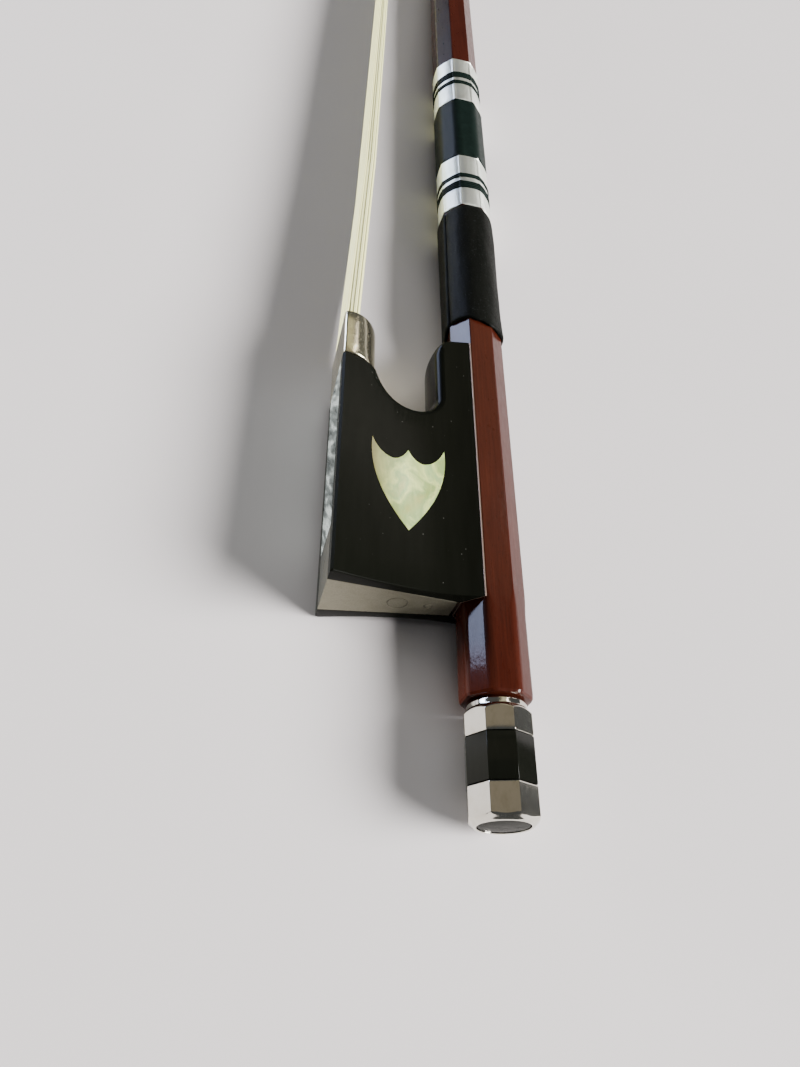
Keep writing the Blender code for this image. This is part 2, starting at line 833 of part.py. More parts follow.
def slide_layer(low, high, top, thickness, flare=0.0):
    """One layer of the slide, whose outer side is a given depth under the frog's face."""
    rings = []
    for y in (low, high):
        half = slide_half_width(y)
        wide = half + flare
        near = slide_face(y) + top
        deep = near + thickness
        rings.append(across([(near, half), (deep, wide), (deep, -wide), (near, -half)], y))
    return loft(rings)


def hair_floor():
    """X of the flat that the hair runs over inside the frog."""
    backing = PEARL_THICKNESS + BACKING_THICKNESS + SEAT_GAP
    return slide_face(ferrule_rear()) + backing + HAIR_THICKNESS + 3 * SEAT_GAP


def make_frog_body(frog):
    """The ebony frog, cut for the stick, thumb, ferrule, slide, plate, hair and inlays."""
    rings = [across(frog_section(y), y) for y in (0.0, FROG_LENGTH)]
    body = add_solid("frog_body", *loft(rings), ebony(), frog)
    combine(body, add_cutter("throat_cut", *throat_cutter(), frog))
    combine(body, add_cutter("tongue_cut", *tongue_cutter(), frog))
    depth = PEARL_THICKNESS + BACKING_THICKNESS + 2 * SEAT_GAP
    groove = slide_groove(HEEL_LEG_LENGTH, ferrule_front() + REACH, depth)
    combine(body, add_cutter("slide_groove", *groove, frog))
    combine(body, add_cutter("heel_recess", *heel_recess(), frog))
    combine(body, add_cutter("frog_mortise", *frog_mortise(), frog))
    combine(body, add_cutter("hair_passage", *hair_passage(), frog))
    combine(body, add_cutter("tongue_flat", *tongue_flat(), frog))
    combine(body, add_cutter("eyelet_hole", *eyelet_hole(), frog))
    for name, radius, start, end in frog_pins():
        inward = (Vector(end) - Vector(start)).normalized()
        hole = rod(radius + SEAT_GAP, Vector(start) - inward * OVERLAP,
                   Vector(end) + inward * SEAT_GAP)
        combine(body, add_cutter(name + "_hole", *hole, frog))
    for side in (1, -1):
        combine(body, shield_pocket(side, frog))


def heel_recess():
    """The recess for the angled plate, over the heel and the rear of the slide face."""
    gap = SEAT_GAP
    top = -channel_offset() + REACH
    return heel_plate_shape(gap, -REACH, REACH, top)


def heel_plate_shape(gap, rear, proud, top):
    """The angled plate: an upright on the heel and a leg on the slide face.

    gap grows it inside the frog, rear is the Y of its outer face, proud is how far it
    stands out of the slide face, and top is the X of its end under the stick.
    """
    thick = HEEL_PLATE_THICKNESS + gap
    leg = HEEL_LEG_LENGTH + gap
    face_rear = slide_face(0.0) - proud
    face_leg = slide_face(leg) - proud
    inner_leg = slide_face(leg) + thick
    inner_rear = slide_face(thick) + thick
    slope = (HEEL_PLATE_TOP_WIDTH / 2 - slide_half_width(0.0)) / (SLIDE_FACE_HEEL - channel_offset())

    def half(x, y):
        if y > thick:
            return slide_half_width(y) + gap
        return slide_half_width(0.0) + slope * (x - slide_face(0.0)) + gap

    corners = [(face_rear, rear), (face_leg, leg), (inner_leg, leg), (inner_rear, thick),
               (top, thick), (top, rear)]
    vertices = [Vector((x, y, half(x, y))) for x, y in corners]
    vertices += [Vector((x, y, -half(x, y))) for x, y in corners]
    faces = [(0, 1, 2, 3), (0, 3, 4, 5), (6, 7, 8, 9), (6, 9, 10, 11)]
    for i in range(6):
        j = (i + 1) % 6
        faces.append((i, j, 6 + j, 6 + i))
    return vertices, faces


def frog_mortise():
    """The deep pocket for the knot of the hair and its plug."""
    half = FROG_MORTISE_WIDTH / 2
    return box((-SLIDE_FACE_HEEL, FROG_MORTISE_START, -half),
               (-FROG_MORTISE_FLOOR, FROG_MORTISE_START + FROG_MORTISE_LENGTH, half))


def hair_passage():
    """The flat way of the hair, from the pocket to the ferrule."""
    half = SLIDE_WIDTH_FRONT / 2
    start = FROG_MORTISE_START + FROG_MORTISE_LENGTH - REACH
    return box((-SLIDE_FACE_HEEL, start, -half), (hair_floor(), ferrule_rear() + REACH, half))


def tongue_flat():
    """What the tongue loses so that hair and wedge pass between it and the ferrule."""
    return box((-SLIDE_FACE_HEEL - REACH, ferrule_rear(), -FROG_WIDTH_HEEL),
               (hair_floor(), ferrule_front() + REACH, FROG_WIDTH_HEEL))


def eyelet_hole():
    """The hole for the eyelet's shank, under the channel."""
    deep = channel_offset() + EYELET_SHANK_LENGTH + SEAT_GAP
    return rod(EYELET_SHANK_RADIUS + SEAT_GAP, (-deep, EYELET_Y, 0), (0, EYELET_Y, 0), 16)


def frog_pins():
    """Name, radius, head and point of each pin in the frog."""
    face = slide_face(0.0)
    leg = slide_face(HEEL_PIN_LEG_Y)
    upper = -channel_offset() - HEEL_PIN_UPPER_DROP
    lower = face + HEEL_PIN_LOWER_RISE
    lining = -STICK_FLATS / 2 - SLIDING_GAP
    pins = [
        ("heel_pin_upper", PIN_RADIUS, (upper, 0.0, 0), (upper, PIN_LENGTH, 0)),
        ("heel_pin_lower", HEEL_PIN_LOWER_RADIUS, (lower, 0.0, 0), (lower, PIN_LENGTH, 0)),
        ("heel_pin_leg", PIN_RADIUS, (leg, HEEL_PIN_LEG_Y, 0),
         (leg + PIN_LENGTH, HEEL_PIN_LEG_Y, 0)),
    ]
    for name, y in (("rear", LINING_PIN_REAR_Y), ("front", LINING_PIN_FRONT_Y)):
        pins.append(("lining_pin_" + name, PIN_RADIUS, (lining, y, 0),
                     (lining - PIN_LENGTH, y, 0)))
    return pins


def make_frog_pins(frog, holders):
    """The small pins, each in a hole of the plate or lining that it holds."""
    metal = nickel_silver()
    for name, radius, start, end in frog_pins():
        start = Vector(start)
        end = Vector(end)
        inward = (end - start).normalized()
        pin = add_solid(name, *rod(radius, start, end), metal, frog)
        smooth(pin)
        hole = rod(radius + SEAT_GAP, start - inward * REACH, end)
        holder = holders["lining" if "lining" in name else "heel"]
        combine(holder, add_cutter(name + "_way", *hole, frog))


def make_slide(frog):
    """The pearl slide and the dovetailed slip under it."""
    start = HEEL_LEG_LENGTH + SEAT_GAP
    end = ferrule_rear() - SEAT_GAP
    pearl_layer = slide_layer(start, end, 0.0, PEARL_THICKNESS)
    add_solid("frog_slide_pearl", *pearl_layer, slide_pearl(), frog)
    top = PEARL_THICKNESS + SEAT_GAP
    backing = slide_layer(start, end, top, BACKING_THICKNESS, BACKING_FLARE)
    add_solid("frog_slide_backing", *backing, ebony(), frog)


def make_heel_plate(frog):
    """The angled metal plate on the heel and the rear of the slide face."""
    shape = heel_plate_shape(0.0, 0.0, 0.0, -channel_offset() - SEAT_GAP)
    return add_solid("heel_plate", *shape, nickel_silver(), frog)


def make_lining(frog):
    """The thin metal lining that rides on the three lower facets of the stick."""
    inner = STICK_FLATS / 2 + SLIDING_GAP
    outer = inner + LINING_THICKNESS
    edge = FROG_WIDTH_CHEEK / 2
    outline = []
    for offset, signs in ((outer, (1, -1)), (inner, (-1, 1))):
        corner = offset * tan(HALF_EIGHTH)
        first, second = signs
        outline.append((cheek_x(offset), first * edge))
        outline.append((-offset, first * corner))
        outline.append((-offset, second * corner))
        outline.append((cheek_x(offset), second * edge))
    lining = add_solid("frog_lining", *bar(outline, 0.0, FROG_LENGTH), nickel_silver(), frog)
    combine(lining, add_cutter("lining_eyelet_hole", *eyelet_hole(), frog))
    return lining


def make_ferrule(frog):
    """The arched metal ferrule round the tongue of the frog."""
    ends = (ferrule_rear() + SEAT_GAP, ferrule_front())
    outer = [across(ferrule_outline(0.0), y) for y in ends]
    inner = [across(ferrule_outline(FERRULE_WALL), y) for y in ends]
    ferrule = add_solid("ferrule", *pipe(outer, inner), nickel_silver(), frog)
    smooth(ferrule)


def make_wedge(frog):
    """The thin wedge that spreads the hair in the ferrule."""
    half = FROG_WIDTH_FRONT / 2 - FERRULE_WALL - OVERLAP
    high = hair_floor() - SEAT_GAP
    front = ferrule_front() - 2 * SEAT_GAP
    rear = front - WEDGE_LENGTH
    wedge = box((high - WEDGE_THICKNESS, rear, -half), (high, front, half))
    add_solid("ferrule_wedge", *wedge, box_wood(), frog)


def make_frog_filling(frog):
    """The knot of the hair and its plug, in the frog's pocket."""
    half = FROG_MORTISE_WIDTH / 2 - SEAT_GAP
    floor = -FROG_MORTISE_FLOOR - SEAT_GAP
    knot_room = 2 * KNOT_RADIUS + KNOT_ROOM
    rear = FROG_MORTISE_START + knot_room
    front = FROG_MORTISE_START + FROG_MORTISE_LENGTH - SEAT_GAP
    plug = box((hair_floor(), rear, -half), (floor, front, half))
    add_solid("frog_plug", *plug, box_wood(), frog)
    centre = FROG_MORTISE_START + knot_room / 2
    ends = ((floor, centre, 0), (floor - KNOT_LENGTH, centre, 0))
    knot = add_solid("hair_frog_knot", *rod(KNOT_RADIUS, *ends), tied_thread(), frog)
    smooth(knot)


def shield_outline(grow):
    """The shield with its three peaks, as (x, y) points of the frog's side."""
    half = SHIELD_WIDTH / 2
    height = SHIELD_HEIGHT
    tip = (half, 0.0)
    notch = (SHIELD_NOTCH_SPAN / 2, -SHIELD_NOTCH_DEPTH)
    peak = (0.0, -SHIELD_PEAK_DEPTH)
    side = [tip, (half * SHIELD_SIDE_FULLNESS, -height * SHIELD_SIDE_DROP),
            (half * SHIELD_FOOT_FULLNESS, -height * SHIELD_FOOT_DROP), (0.0, -height)]
    top = [tip, (half * SHIELD_SHOULDER_SHARE, notch[1] * SHIELD_SHOULDER_DEPTH), notch]
    rise = [notch, (notch[0] * SHIELD_PEAK_SHARE, notch[1] * SHIELD_PEAK_ROUND), peak]
    right = [tuple(point) for point in curve_points(side, 7)]
    upper = [tuple(point) for point in curve_points(rise, 3)[::-1]]
    upper += [tuple(point) for point in curve_points(top, 4)[::-1][1:-1]]
    loop = upper + right
    loop += [(-x, y) for x, y in reversed(loop[1:-1])]
    return [(x - SHIELD_CENTRE_DROP, y + SHIELD_TOP_Y) for x, y in grown(loop, grow)]


def grown(outline, gap):
    """A clockwise outline of (x, y) points with every edge moved outwards by a gap.

    At a sharp corner the point moves no further than LEAST_LEAN allows.
    """
    count = len(outline)
    points = []
    for i in range(count):
        before = Vector(outline[i - 1])
        here = Vector(outline[i])
        after = Vector(outline[(i + 1) % count])
        first = (here - before).normalized()
        second = (after - here).normalized()
        out = Vector((-first.y - second.y, first.x + second.x)).normalized()
        lean = max(LEAST_LEAN, out.dot(Vector((-first.y, first.x))))
        points.append(tuple(here + out * gap / lean))
    return points


def side_slab(low, high, side):
    """A slab that follows the frog's hollow side between two depths under it."""
    rings = []
    for y in (0.0, FROG_LENGTH):
        curve = side_curve(y, 14)
        under = [(x, side * (z + low)) for x, z in curve]
        over = [(x, side * (z + high)) for x, z in reversed(curve)]
        rings.append(across(under + over, y))
    return loft(rings)


def shield_prism(grow, side):
    """The shield's outline drawn out through one side of the frog."""
    ends = (side * SHIELD_ROOT, side * FROG_WIDTH_HEEL)
    rings = [[Vector((x, y, z)) for x, y in shield_outline(grow)] for z in ends]
    return loft(rings)


def shield_pocket(side, frog):
    """The shallow pocket of the shield on one side."""
    name = "upper" if side > 0 else "lower"
    pocket = add_cutter("shield_pocket_" + name, *shield_prism(SEAT_GAP, side), frog)
    slab = side_slab(-SHIELD_THICKNESS - SEAT_GAP, REACH, side)
    combine(pocket, add_cutter("pocket_depth_" + name, *slab, frog), "INTERSECT")
    return pocket


def make_shields(frog):
    """The plain pearl shield let into each side of the frog."""
    for side, name in ((1, "upper"), (-1, "lower")):
        slab = side_slab(-SHIELD_THICKNESS, 0.0, side)
        shield = add_solid("shield_inlay_" + name, *slab, pearl(), frog)
        outline = add_cutter("shield_outline_" + name, *shield_prism(0.0, side), frog)
        combine(shield, outline, "INTERSECT")


def make_eyelet(frog):
    """The brass nut that the screw pulls, with its shank in the frog."""
    half_y = EYELET_LENGTH / 2
    half_z = EYELET_WIDTH / 2
    base = -STICK_FLATS / 2
    head = box((base, EYELET_Y - half_y, -half_z), (EYELET_TOP, EYELET_Y + half_y, half_z))
    eyelet = add_solid("eyelet", *head, brass(), frog)
    deep = channel_offset() + EYELET_SHANK_LENGTH
    shank = rod(EYELET_SHANK_RADIUS, (-deep, EYELET_Y, 0), (base + OVERLAP, EYELET_Y, 0), 16)
    combine(eyelet, add_cutter("eyelet_shank", *shank, frog), "UNION")
    bore = bar(circle(THREAD_RADIUS + THREAD_GAP), 0.0, FROG_LENGTH)
    combine(eyelet, add_cutter("eyelet_bore", *bore, frog))


# Hair

def ribbon_ring(centre, along, half_width, thickness):
    """A flat section of the hair, with blunt edges."""
    aside = Vector((along.y, -along.x, 0)).normalized()
    half = thickness / 2
    flat = half_width - half
    shape = [(half_width, 0.0), (flat, half), (-flat, half), (-half_width, 0.0), (-flat, -half),
             (flat, -half)]
    return [centre + Vector((0, 0, z)) + aside * off for z, off in shape]


def turned(start, out, onward, radius, steps=5):
    """Points and directions of a quarter turn from one direction into another."""
    centre = start + onward * radius
    stops = []
    for step in range(steps + 1):
        angle = pi / 2 * step / steps
        point = centre + out * (radius * sin(angle)) - onward * (radius * cos(angle))
        stops.append((point, out * cos(angle) + onward * sin(angle)))
    return stops


def make_hair(bow):
    """The ribbon of hair, from its knot in the frog to its knot in the head."""
    heel = Vector((0, FROG_HEEL_Y, 0))
    forward, downward = head_directions()
    radius = HAIR_BEND_RADIUS
    half = HAIR_THICKNESS / 2
    outward = Vector((-1, 0, 0))
    onward = Vector((0, 1, 0))
    level = hair_floor() - SEAT_GAP - half
    knot_y = FROG_MORTISE_START + KNOT_RADIUS + KNOT_ROOM / 2
    knot_top = -FROG_MORTISE_FLOOR - KNOT_LENGTH - KNOT_ROOM
    narrow = FROG_MORTISE_WIDTH / 2 - KNOT_ROOM
    passage = SLIDE_WIDTH_FRONT / 2 - KNOT_ROOM
    wide = HAIR_WIDTH_FROG / 2
    slim = HAIR_WIDTH_HEAD / 2
    stops = [(heel + Vector((knot_top, knot_y, 0)), outward, narrow)]
    bend = turned(heel + Vector((level + radius, knot_y, 0)), outward, onward, radius)
    stops += [(point, along, narrow) for point, along in bend]
    pocket_end = FROG_MORTISE_START + FROG_MORTISE_LENGTH
    stops.append((heel + Vector((level, pocket_end, 0)), onward, narrow))
    stops.append((heel + Vector((level, ferrule_rear() - SEAT_GAP, 0)), onward, passage))
    stops.append((hair_start() - onward * WEDGE_LENGTH, onward, (passage + wide) / 2))
    stops.append((hair_start(), forward, wide))
    past = HEAD_MORTISE_START + HEAD_MORTISE_LENGTH - KNOT_RADIUS - KNOT_ROOM / 2
    level_head = HEAD_FACE_DROP + hair_depth()
    head_bend = turned(head_point(past, level_head - radius), downward, -forward, radius)
    stops += [(point, -along, slim) for point, along in reversed(head_bend)]
    knot_end = mortise_floor() + KNOT_LENGTH + KNOT_ROOM
    stops.append((head_point(past, knot_end), -downward, mortise_half(knot_end) - KNOT_ROOM))
    rings = [ribbon_ring(point, along, width, HAIR_THICKNESS) for point, along, width in stops]
    ribbon = add_solid("hair_ribbon", *loft(rings), horse_hair(), bow)
    smooth(ribbon)


# Screw and button, whose own Y is the bow's

def thread_start():
    return slot_start() - THREAD_LEAD


def thread_turns():
    """Whole turns of thread that end short of the slot's front end."""
    return int((slot_end() - THREAD_TAIL - thread_start()) / THREAD_PITCH)


def pilot_end():
    return slot_end() + PILOT_DEPTH


def thread_vertices():
    """Root and crest of the thread as one helix that starts and ends on the root."""
    root = THREAD_RADIUS - THREAD_DEPTH
    count = thread_turns() * THREAD_STEPS
    roots = []
    crests = []
    for i in range(count + THREAD_STEPS + 1):
        angle = 2 * pi * i / THREAD_STEPS
        y = thread_start() + THREAD_PITCH * i / THREAD_STEPS
        roots.append(Vector((root * cos(angle), y, -root * sin(angle))))
        if i <= count:
            crests.append(Vector((THREAD_RADIUS * cos(angle), y + THREAD_PITCH / 2,
                                  -THREAD_RADIUS * sin(angle))))
    return roots, crests


def make_screw(axis):
    """The steel screw: a plain shank, a thread of one start and a slim pilot."""
    steps = THREAD_STEPS
    roots, crests = thread_vertices()
    count = len(crests) - 1
    root = THREAD_RADIUS - THREAD_DEPTH
    vertices = roots + crests
    crest = len(roots)
    faces = []
    for i in range(count):
        faces.append((i, i + 1, crest + i + 1, crest + i))
        faces.append((crest + i, crest + i + 1, i + steps + 1, i + steps))
    faces.append((0, crest, steps))
    faces.append((count, count + steps, crest + count))
    rear_y = thread_start() - THREAD_PITCH / 2
    rear = ring_indices(vertices, root, rear_y, steps)
    join_start(faces, rear, steps)
    front_y = roots[-1].y + THREAD_PITCH / 2
    front = ring_indices(vertices, root, front_y, steps)
    join_end(faces, front, count, steps)
    shoulder = ring_indices(vertices, SHANK_RADIUS, rear_y, steps)
    shank_end = ring_indices(vertices, SHANK_RADIUS, shank_start(), steps)
    bridge(faces, rear, shoulder)
    bridge(faces, shoulder, shank_end)
    faces.append(tuple(shank_end))
    step_down = ring_indices(vertices, PILOT_RADIUS, front_y, steps)
    tip = ring_indices(vertices, PILOT_RADIUS, pilot_end(), steps)
    bridge(faces, front, step_down)
    bridge(faces, step_down, tip)
    faces.append(tuple(tip))
    screw = add_solid("screw_shaft", vertices, faces, steel(), axis)
    smooth(screw, 50)


def ring_indices(vertices, radius, y, steps):
    """Add a ring of points round the screw and return their places in the list."""
    first = len(vertices)
    for i in range(steps):
        angle = 2 * pi * i / steps
        vertices.append(Vector((radius * cos(angle), y, -radius * sin(angle))))
    return list(range(first, first + steps))


def bridge(faces, first, second):
    count = len(first)
    for i in range(count):
        j = (i + 1) % count
        faces.append((first[i], first[j], second[j], second[i]))


def join_start(faces, ring, steps):
    """Walls from a ring to the first turn of the thread's root."""
    for i in range(steps - 1):
        faces.append((ring[i], ring[i + 1], i + 1, i))
    faces.append((ring[steps - 1], ring[0], 0, steps, steps - 1))


def join_end(faces, ring, count, steps):
    """Walls from the last turn of the thread's root to a ring."""
    for i in range(1, steps):
        j = (i + 1) % steps
        faces.append((count + i, count + i + 1, ring[j], ring[i]))
    faces.append((count, count + 1, ring[1], ring[0], count + steps))


def shank_start():
    """Y where the shank ends inside the button."""
    return -BUTTON_GAP - COLLAR_LENGTH - FRONT_RING_LENGTH - CORE_LENGTH


def ring_front():
    """Y of the front ring's face behind the collar."""
    return -BUTTON_GAP - COLLAR_LENGTH


def core_front():
    return ring_front() - FRONT_RING_LENGTH


def core_rear():
    return core_front() - CORE_LENGTH


def ring_rear():
    return core_rear() - REAR_RING_LENGTH


def make_front_ring(axis):
    """The front metal ring with its round collar against the stick."""
    outline = octagon(BUTTON_FLATS, BUTTON_ROLL)
    body = bar(outline, core_front() + SEAT_GAP, ring_front())
    ring = add_solid("button_front_ring", *body, nickel_silver(), axis)
    collar = bar(circle(COLLAR_RADIUS), ring_front() - OVERLAP, -BUTTON_GAP)
    combine(ring, add_cutter("collar", *collar, axis), "UNION")
    bore = bar(circle(SHANK_RADIUS + SEAT_GAP), core_front() - REACH, REACH)
    combine(ring, add_cutter("front_ring_bore", *bore, axis))
    seat = bar(circle(TENON_RADIUS + SEAT_GAP), core_front() - REACH, tenon_front() + SEAT_GAP)
    combine(ring, add_cutter("front_ring_seat", *seat, axis))
    return ring


def tenon_front():
    """Y of the end of the core's front tenon."""
    return core_front() + FRONT_TENON_LENGTH


def tenon_rear():
    """Y of the end of the core's rear tenon."""
    return ring_rear() + EYE_THICKNESS + 3 * SEAT_GAP


def make_core(axis):
    """The ebony middle of the button, with a round tenon into each ring."""
    body = bar(octagon(BUTTON_FLATS, BUTTON_ROLL), core_rear(), core_front())
    core = add_solid("button_core", *body, ebony(), axis)
    front = bar(circle(TENON_RADIUS), core_front() - OVERLAP, tenon_front())
    combine(core, add_cutter("front_tenon", *front, axis), "UNION")
    rear = bar(circle(TENON_RADIUS), tenon_rear(), core_rear() + OVERLAP)
    combine(core, add_cutter("rear_tenon", *rear, axis), "UNION")
    bore = bar(circle(SHANK_RADIUS + SEAT_GAP), shank_start() - SEAT_GAP, REACH)
    combine(core, add_cutter("core_bore", *bore, axis))
    return core


def make_rear_ring(axis):
    """The rear metal ring, bevelled round its end."""
    inset = 2 * RING_BEVEL
    levels = [(core_rear() - SEAT_GAP, 0.0), (ring_rear() + RING_BEVEL, 0.0), (ring_rear(), inset)]
    rings = [across(octagon(BUTTON_FLATS - less, BUTTON_ROLL), y) for y, less in levels]
    ring = add_solid("button_rear_ring", *loft(rings), nickel_silver(), axis)
    eye = bar(circle(EYE_RADIUS + SEAT_GAP), ring_rear() - REACH, core_rear() + REACH)
    combine(ring, add_cutter("rear_ring_bore", *eye, axis))
    return ring


def make_eye(axis):
    """The pearl disc in the end of the button."""
    levels = [(ring_rear() + EYE_THICKNESS, EYE_RADIUS), (ring_rear() + EYE_RIM, EYE_RADIUS),
              (ring_rear(), EYE_RADIUS - EYE_RIM)]
    rings = [across(circle(radius), y) for y, radius in levels]
    eye = add_solid("button_eye", *loft(rings), slide_pearl(), axis)
    smooth(eye)


def make_ring_pins(axis, rings, core):
    """The small pins that hold the rings to the core, two in each ring."""
    metal = steel()
    half = BUTTON_FLATS / 2
    places = (("front", core_front() + RING_PIN_SETBACK),
              ("rear", core_rear() - RING_PIN_SETBACK))
    for place, y in places:
        for number, facet in ((1, 1), (2, 3)):
            angle = EIGHTH * facet + radians(BUTTON_ROLL)
            out = Vector((cos(angle), 0, sin(angle)))
            middle = Vector((0, y, 0))
            name = "ring_pin_" + place + "_" + str(number)
            foot = middle + out * (half - RING_PIN_LENGTH)
            pin = rod(RING_PIN_RADIUS, foot, middle + out * half)
            smooth(add_solid(name, *pin, metal, axis))
            hole = rod(RING_PIN_RADIUS + SEAT_GAP, foot - out * SEAT_GAP,
                       middle + out * (half + REACH))
            cutter = add_cutter(name + "_hole", *hole, axis)
            combine(rings[place], cutter)
            combine(core, cutter)


# Assembly

def add_empty(name, parent, location):
    empty = bpy.data.objects.new(name, None)
    bpy.context.scene.collection.objects.link(empty)
    empty.parent = parent
    empty.location = location
    return empty


def resting_roll():
    """Roll that brings the frog's lower edge and the leather to one level."""
    leather = STICK_FLATS / 2 + SEAT_GAP + LEATHER_THICKNESS
    drop = FROG_WIDTH_HEEL / 2 - leather
    reach = SLIDE_FACE_HEEL + leather * tan(HALF_EIGHTH)
    return atan2(drop, reach)


def set_on_ground(bow):
    """Move the bow so that the origin is under its middle, at the height it rests on."""
    bpy.context.view_layer.update()
    graph = bpy.context.evaluated_depsgraph_get()
    corners = []
    for obj in bpy.context.scene.objects:
        if obj.type != "MESH" or obj.hide_render:
            continue
        shown = obj.evaluated_get(graph)
        corners += [shown.matrix_world @ vertex.co for vertex in shown.data.vertices]
    low = [min(corner[axis] for corner in corners) for axis in range(3)]
    high = [max(corner[axis] for corner in corners) for axis in range(3)]
    bow.location = (-(low[0] + high[0]) / 2, -(low[1] + high[1]) / 2, -low[2])
    bpy.context.view_layer.update()


def main():
    for obj in list(bpy.data.objects):
        bpy.data.objects.remove(obj, do_unlink=True)
    bow = add_empty("bow", None, (0, 0, 0))
    bow.rotation_euler = (0, resting_roll(), 0)
    frog = add_empty("frog_carriage", bow, (0, FROG_HEEL_Y, 0))
    axis = add_empty("screw_axis", bow, (0, 0, 0))

    make_stick(bow)
    make_face_sheets(bow)
    make_head_filling(bow)
    make_leather(bow)
    make_winding(bow)
    make_hair(bow)

    make_frog_body(frog)
    make_slide(frog)
    holders = {"heel": make_heel_plate(frog), "lining": make_lining(frog)}
    make_frog_pins(frog, holders)
    make_ferrule(frog)
    make_wedge(frog)
    make_frog_filling(frog)
    make_shields(frog)
    make_eyelet(frog)

    make_screw(axis)
    rings = {"front": make_front_ring(axis), "rear": make_rear_ring(axis)}
    core = make_core(axis)
    make_eye(axis)
    make_ring_pins(axis, rings, core)
    set_on_ground(bow)


main()
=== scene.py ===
"""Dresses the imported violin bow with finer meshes, materials, a floor, lights and a camera.

Shapes are written in millimetres in the bow's own frame: Y along the straight handle from
the button towards the head, X from the hair to the top of the stick, Z from the side that
the bow lies on to the side that faces up. The origin is on the stick's axis at its button
end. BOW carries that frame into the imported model's frame, in metres.
"""
import json
import random
from math import atan2, cos, exp, pi, radians, sin, sqrt, tan
import bpy
import bmesh
from mathutils import Matrix, Vector, noise


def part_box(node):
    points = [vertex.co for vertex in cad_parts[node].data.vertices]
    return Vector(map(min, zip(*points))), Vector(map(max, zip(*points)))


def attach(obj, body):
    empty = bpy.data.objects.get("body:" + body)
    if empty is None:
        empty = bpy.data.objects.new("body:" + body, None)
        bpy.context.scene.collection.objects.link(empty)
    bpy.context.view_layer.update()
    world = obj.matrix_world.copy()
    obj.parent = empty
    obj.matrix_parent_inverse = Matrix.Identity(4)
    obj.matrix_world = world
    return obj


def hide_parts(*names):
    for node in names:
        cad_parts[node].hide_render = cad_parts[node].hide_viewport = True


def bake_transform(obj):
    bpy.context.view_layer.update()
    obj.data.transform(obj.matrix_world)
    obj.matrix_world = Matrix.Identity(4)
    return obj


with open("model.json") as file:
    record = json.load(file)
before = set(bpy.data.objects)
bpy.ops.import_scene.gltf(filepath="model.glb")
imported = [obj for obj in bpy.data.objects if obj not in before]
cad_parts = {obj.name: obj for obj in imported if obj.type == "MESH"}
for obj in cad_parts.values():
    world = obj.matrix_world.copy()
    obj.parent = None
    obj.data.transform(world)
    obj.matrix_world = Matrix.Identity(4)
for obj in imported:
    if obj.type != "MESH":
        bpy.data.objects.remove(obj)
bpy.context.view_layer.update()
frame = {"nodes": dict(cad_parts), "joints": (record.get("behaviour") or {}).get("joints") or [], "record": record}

# Where the bow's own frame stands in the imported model
record = frame["record"]
screw_joint = [joint for joint in frame["joints"] if joint["name"] == "screw_turn"][0]
slide_mount = [mount for mount in record["mounts"] if mount["name"] == "slide_face"][0]
ROLL = atan2(slide_mount["axis"][2], -slide_mount["axis"][0])
PLACE = Matrix.Translation(screw_joint["pos_m"]) @ Matrix.Rotation(ROLL, 4, "Y")
BOW = PLACE @ Matrix.Scale(0.001, 4)
HEEL = 12.64
FROG = BOW @ Matrix.Translation((0, HEEL, 0))

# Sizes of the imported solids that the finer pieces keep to
HALF = 4.39
STICK_LENGTH = 706.0
HEAD_FLATS = 5.3
TAPER_START = 150.0
CAMBER_START = 170.0
CAMBER_RISE = 23.5
FACE_DROP = 20.2
FACE_LENGTH = 23.8
FACE_WIDTH = 9.8
THROAT_RUN = 16.0
BEAK_LIFT = 1.6
FROG_LENGTH = 44.9
FACE_HEEL = 22.4
FACE_FRONT = 22.1
THROAT_FLOOR = 30.6
THROAT_ROOF = 7.85
THROAT_CORNER = 2.7
THROAT_SWEEP = 1.7
THROAT_CROWN = 0.7
THROAT_EDGE = 1.0
NOSE_TOP = 5.4
NOSE_ROUNDING = 2.9
FERRULE_REAR = 36.66
FERRULE_FRONT = 45.26
CROWN = -16.4
LINING = 0.11
CHANNEL = 4.72
CHEEK_HALF = 4.45
WAIST_HALF = 3.95
WAIST_DROP = 8.0
EIGHTH = radians(45)
HALF_EIGHTH = radians(22.5)
CORNER_SHARE = (1 - tan(HALF_EIGHTH)) / 2
FACE_SHARES = (0.0, CORNER_SHARE / 2, CORNER_SHARE, 0.37, 0.45, 0.54, 0.62,
               1 - CORNER_SHARE, 0.80, 0.90, 1.0)
FACE_WIDTHS = (0.76, 0.93, 1.0, 0.99, 0.93, 0.82, 0.71, 0.58, 0.44, 0.28, 0.13)


# Mesh helpers

def add_mesh(name, vertices, faces, angle=None):
    """A mesh object in millimetres, with its faces turned outwards."""
    mesh = bpy.data.meshes.new(name)
    mesh.from_pydata([tuple(point) for point in vertices], [], faces)
    body = bmesh.new()
    body.from_mesh(mesh)
    bmesh.ops.recalc_face_normals(body, faces=body.faces)
    body.to_mesh(mesh)
    body.free()
    obj = bpy.data.objects.new(name, mesh)
    bpy.context.scene.collection.objects.link(obj)
    if angle:
        shade(obj, angle)
    return obj


def shade(obj, angle):
    """Smooth shading with the edges sharper than an angle kept."""
    obj.data.shade_smooth()
    obj.data.set_sharp_from_angle(angle=radians(angle))


def skin(rings, closed=True):
    """Walls between rings of equal point counts."""
    count = len(rings[0])
    faces = []
    for ring in range(len(rings) - 1):
        low = ring * count
        for i in range(count if closed else count - 1):
            j = (i + 1) % count
            faces.append((low + i, low + j, low + count + j, low + count + i))
    return faces


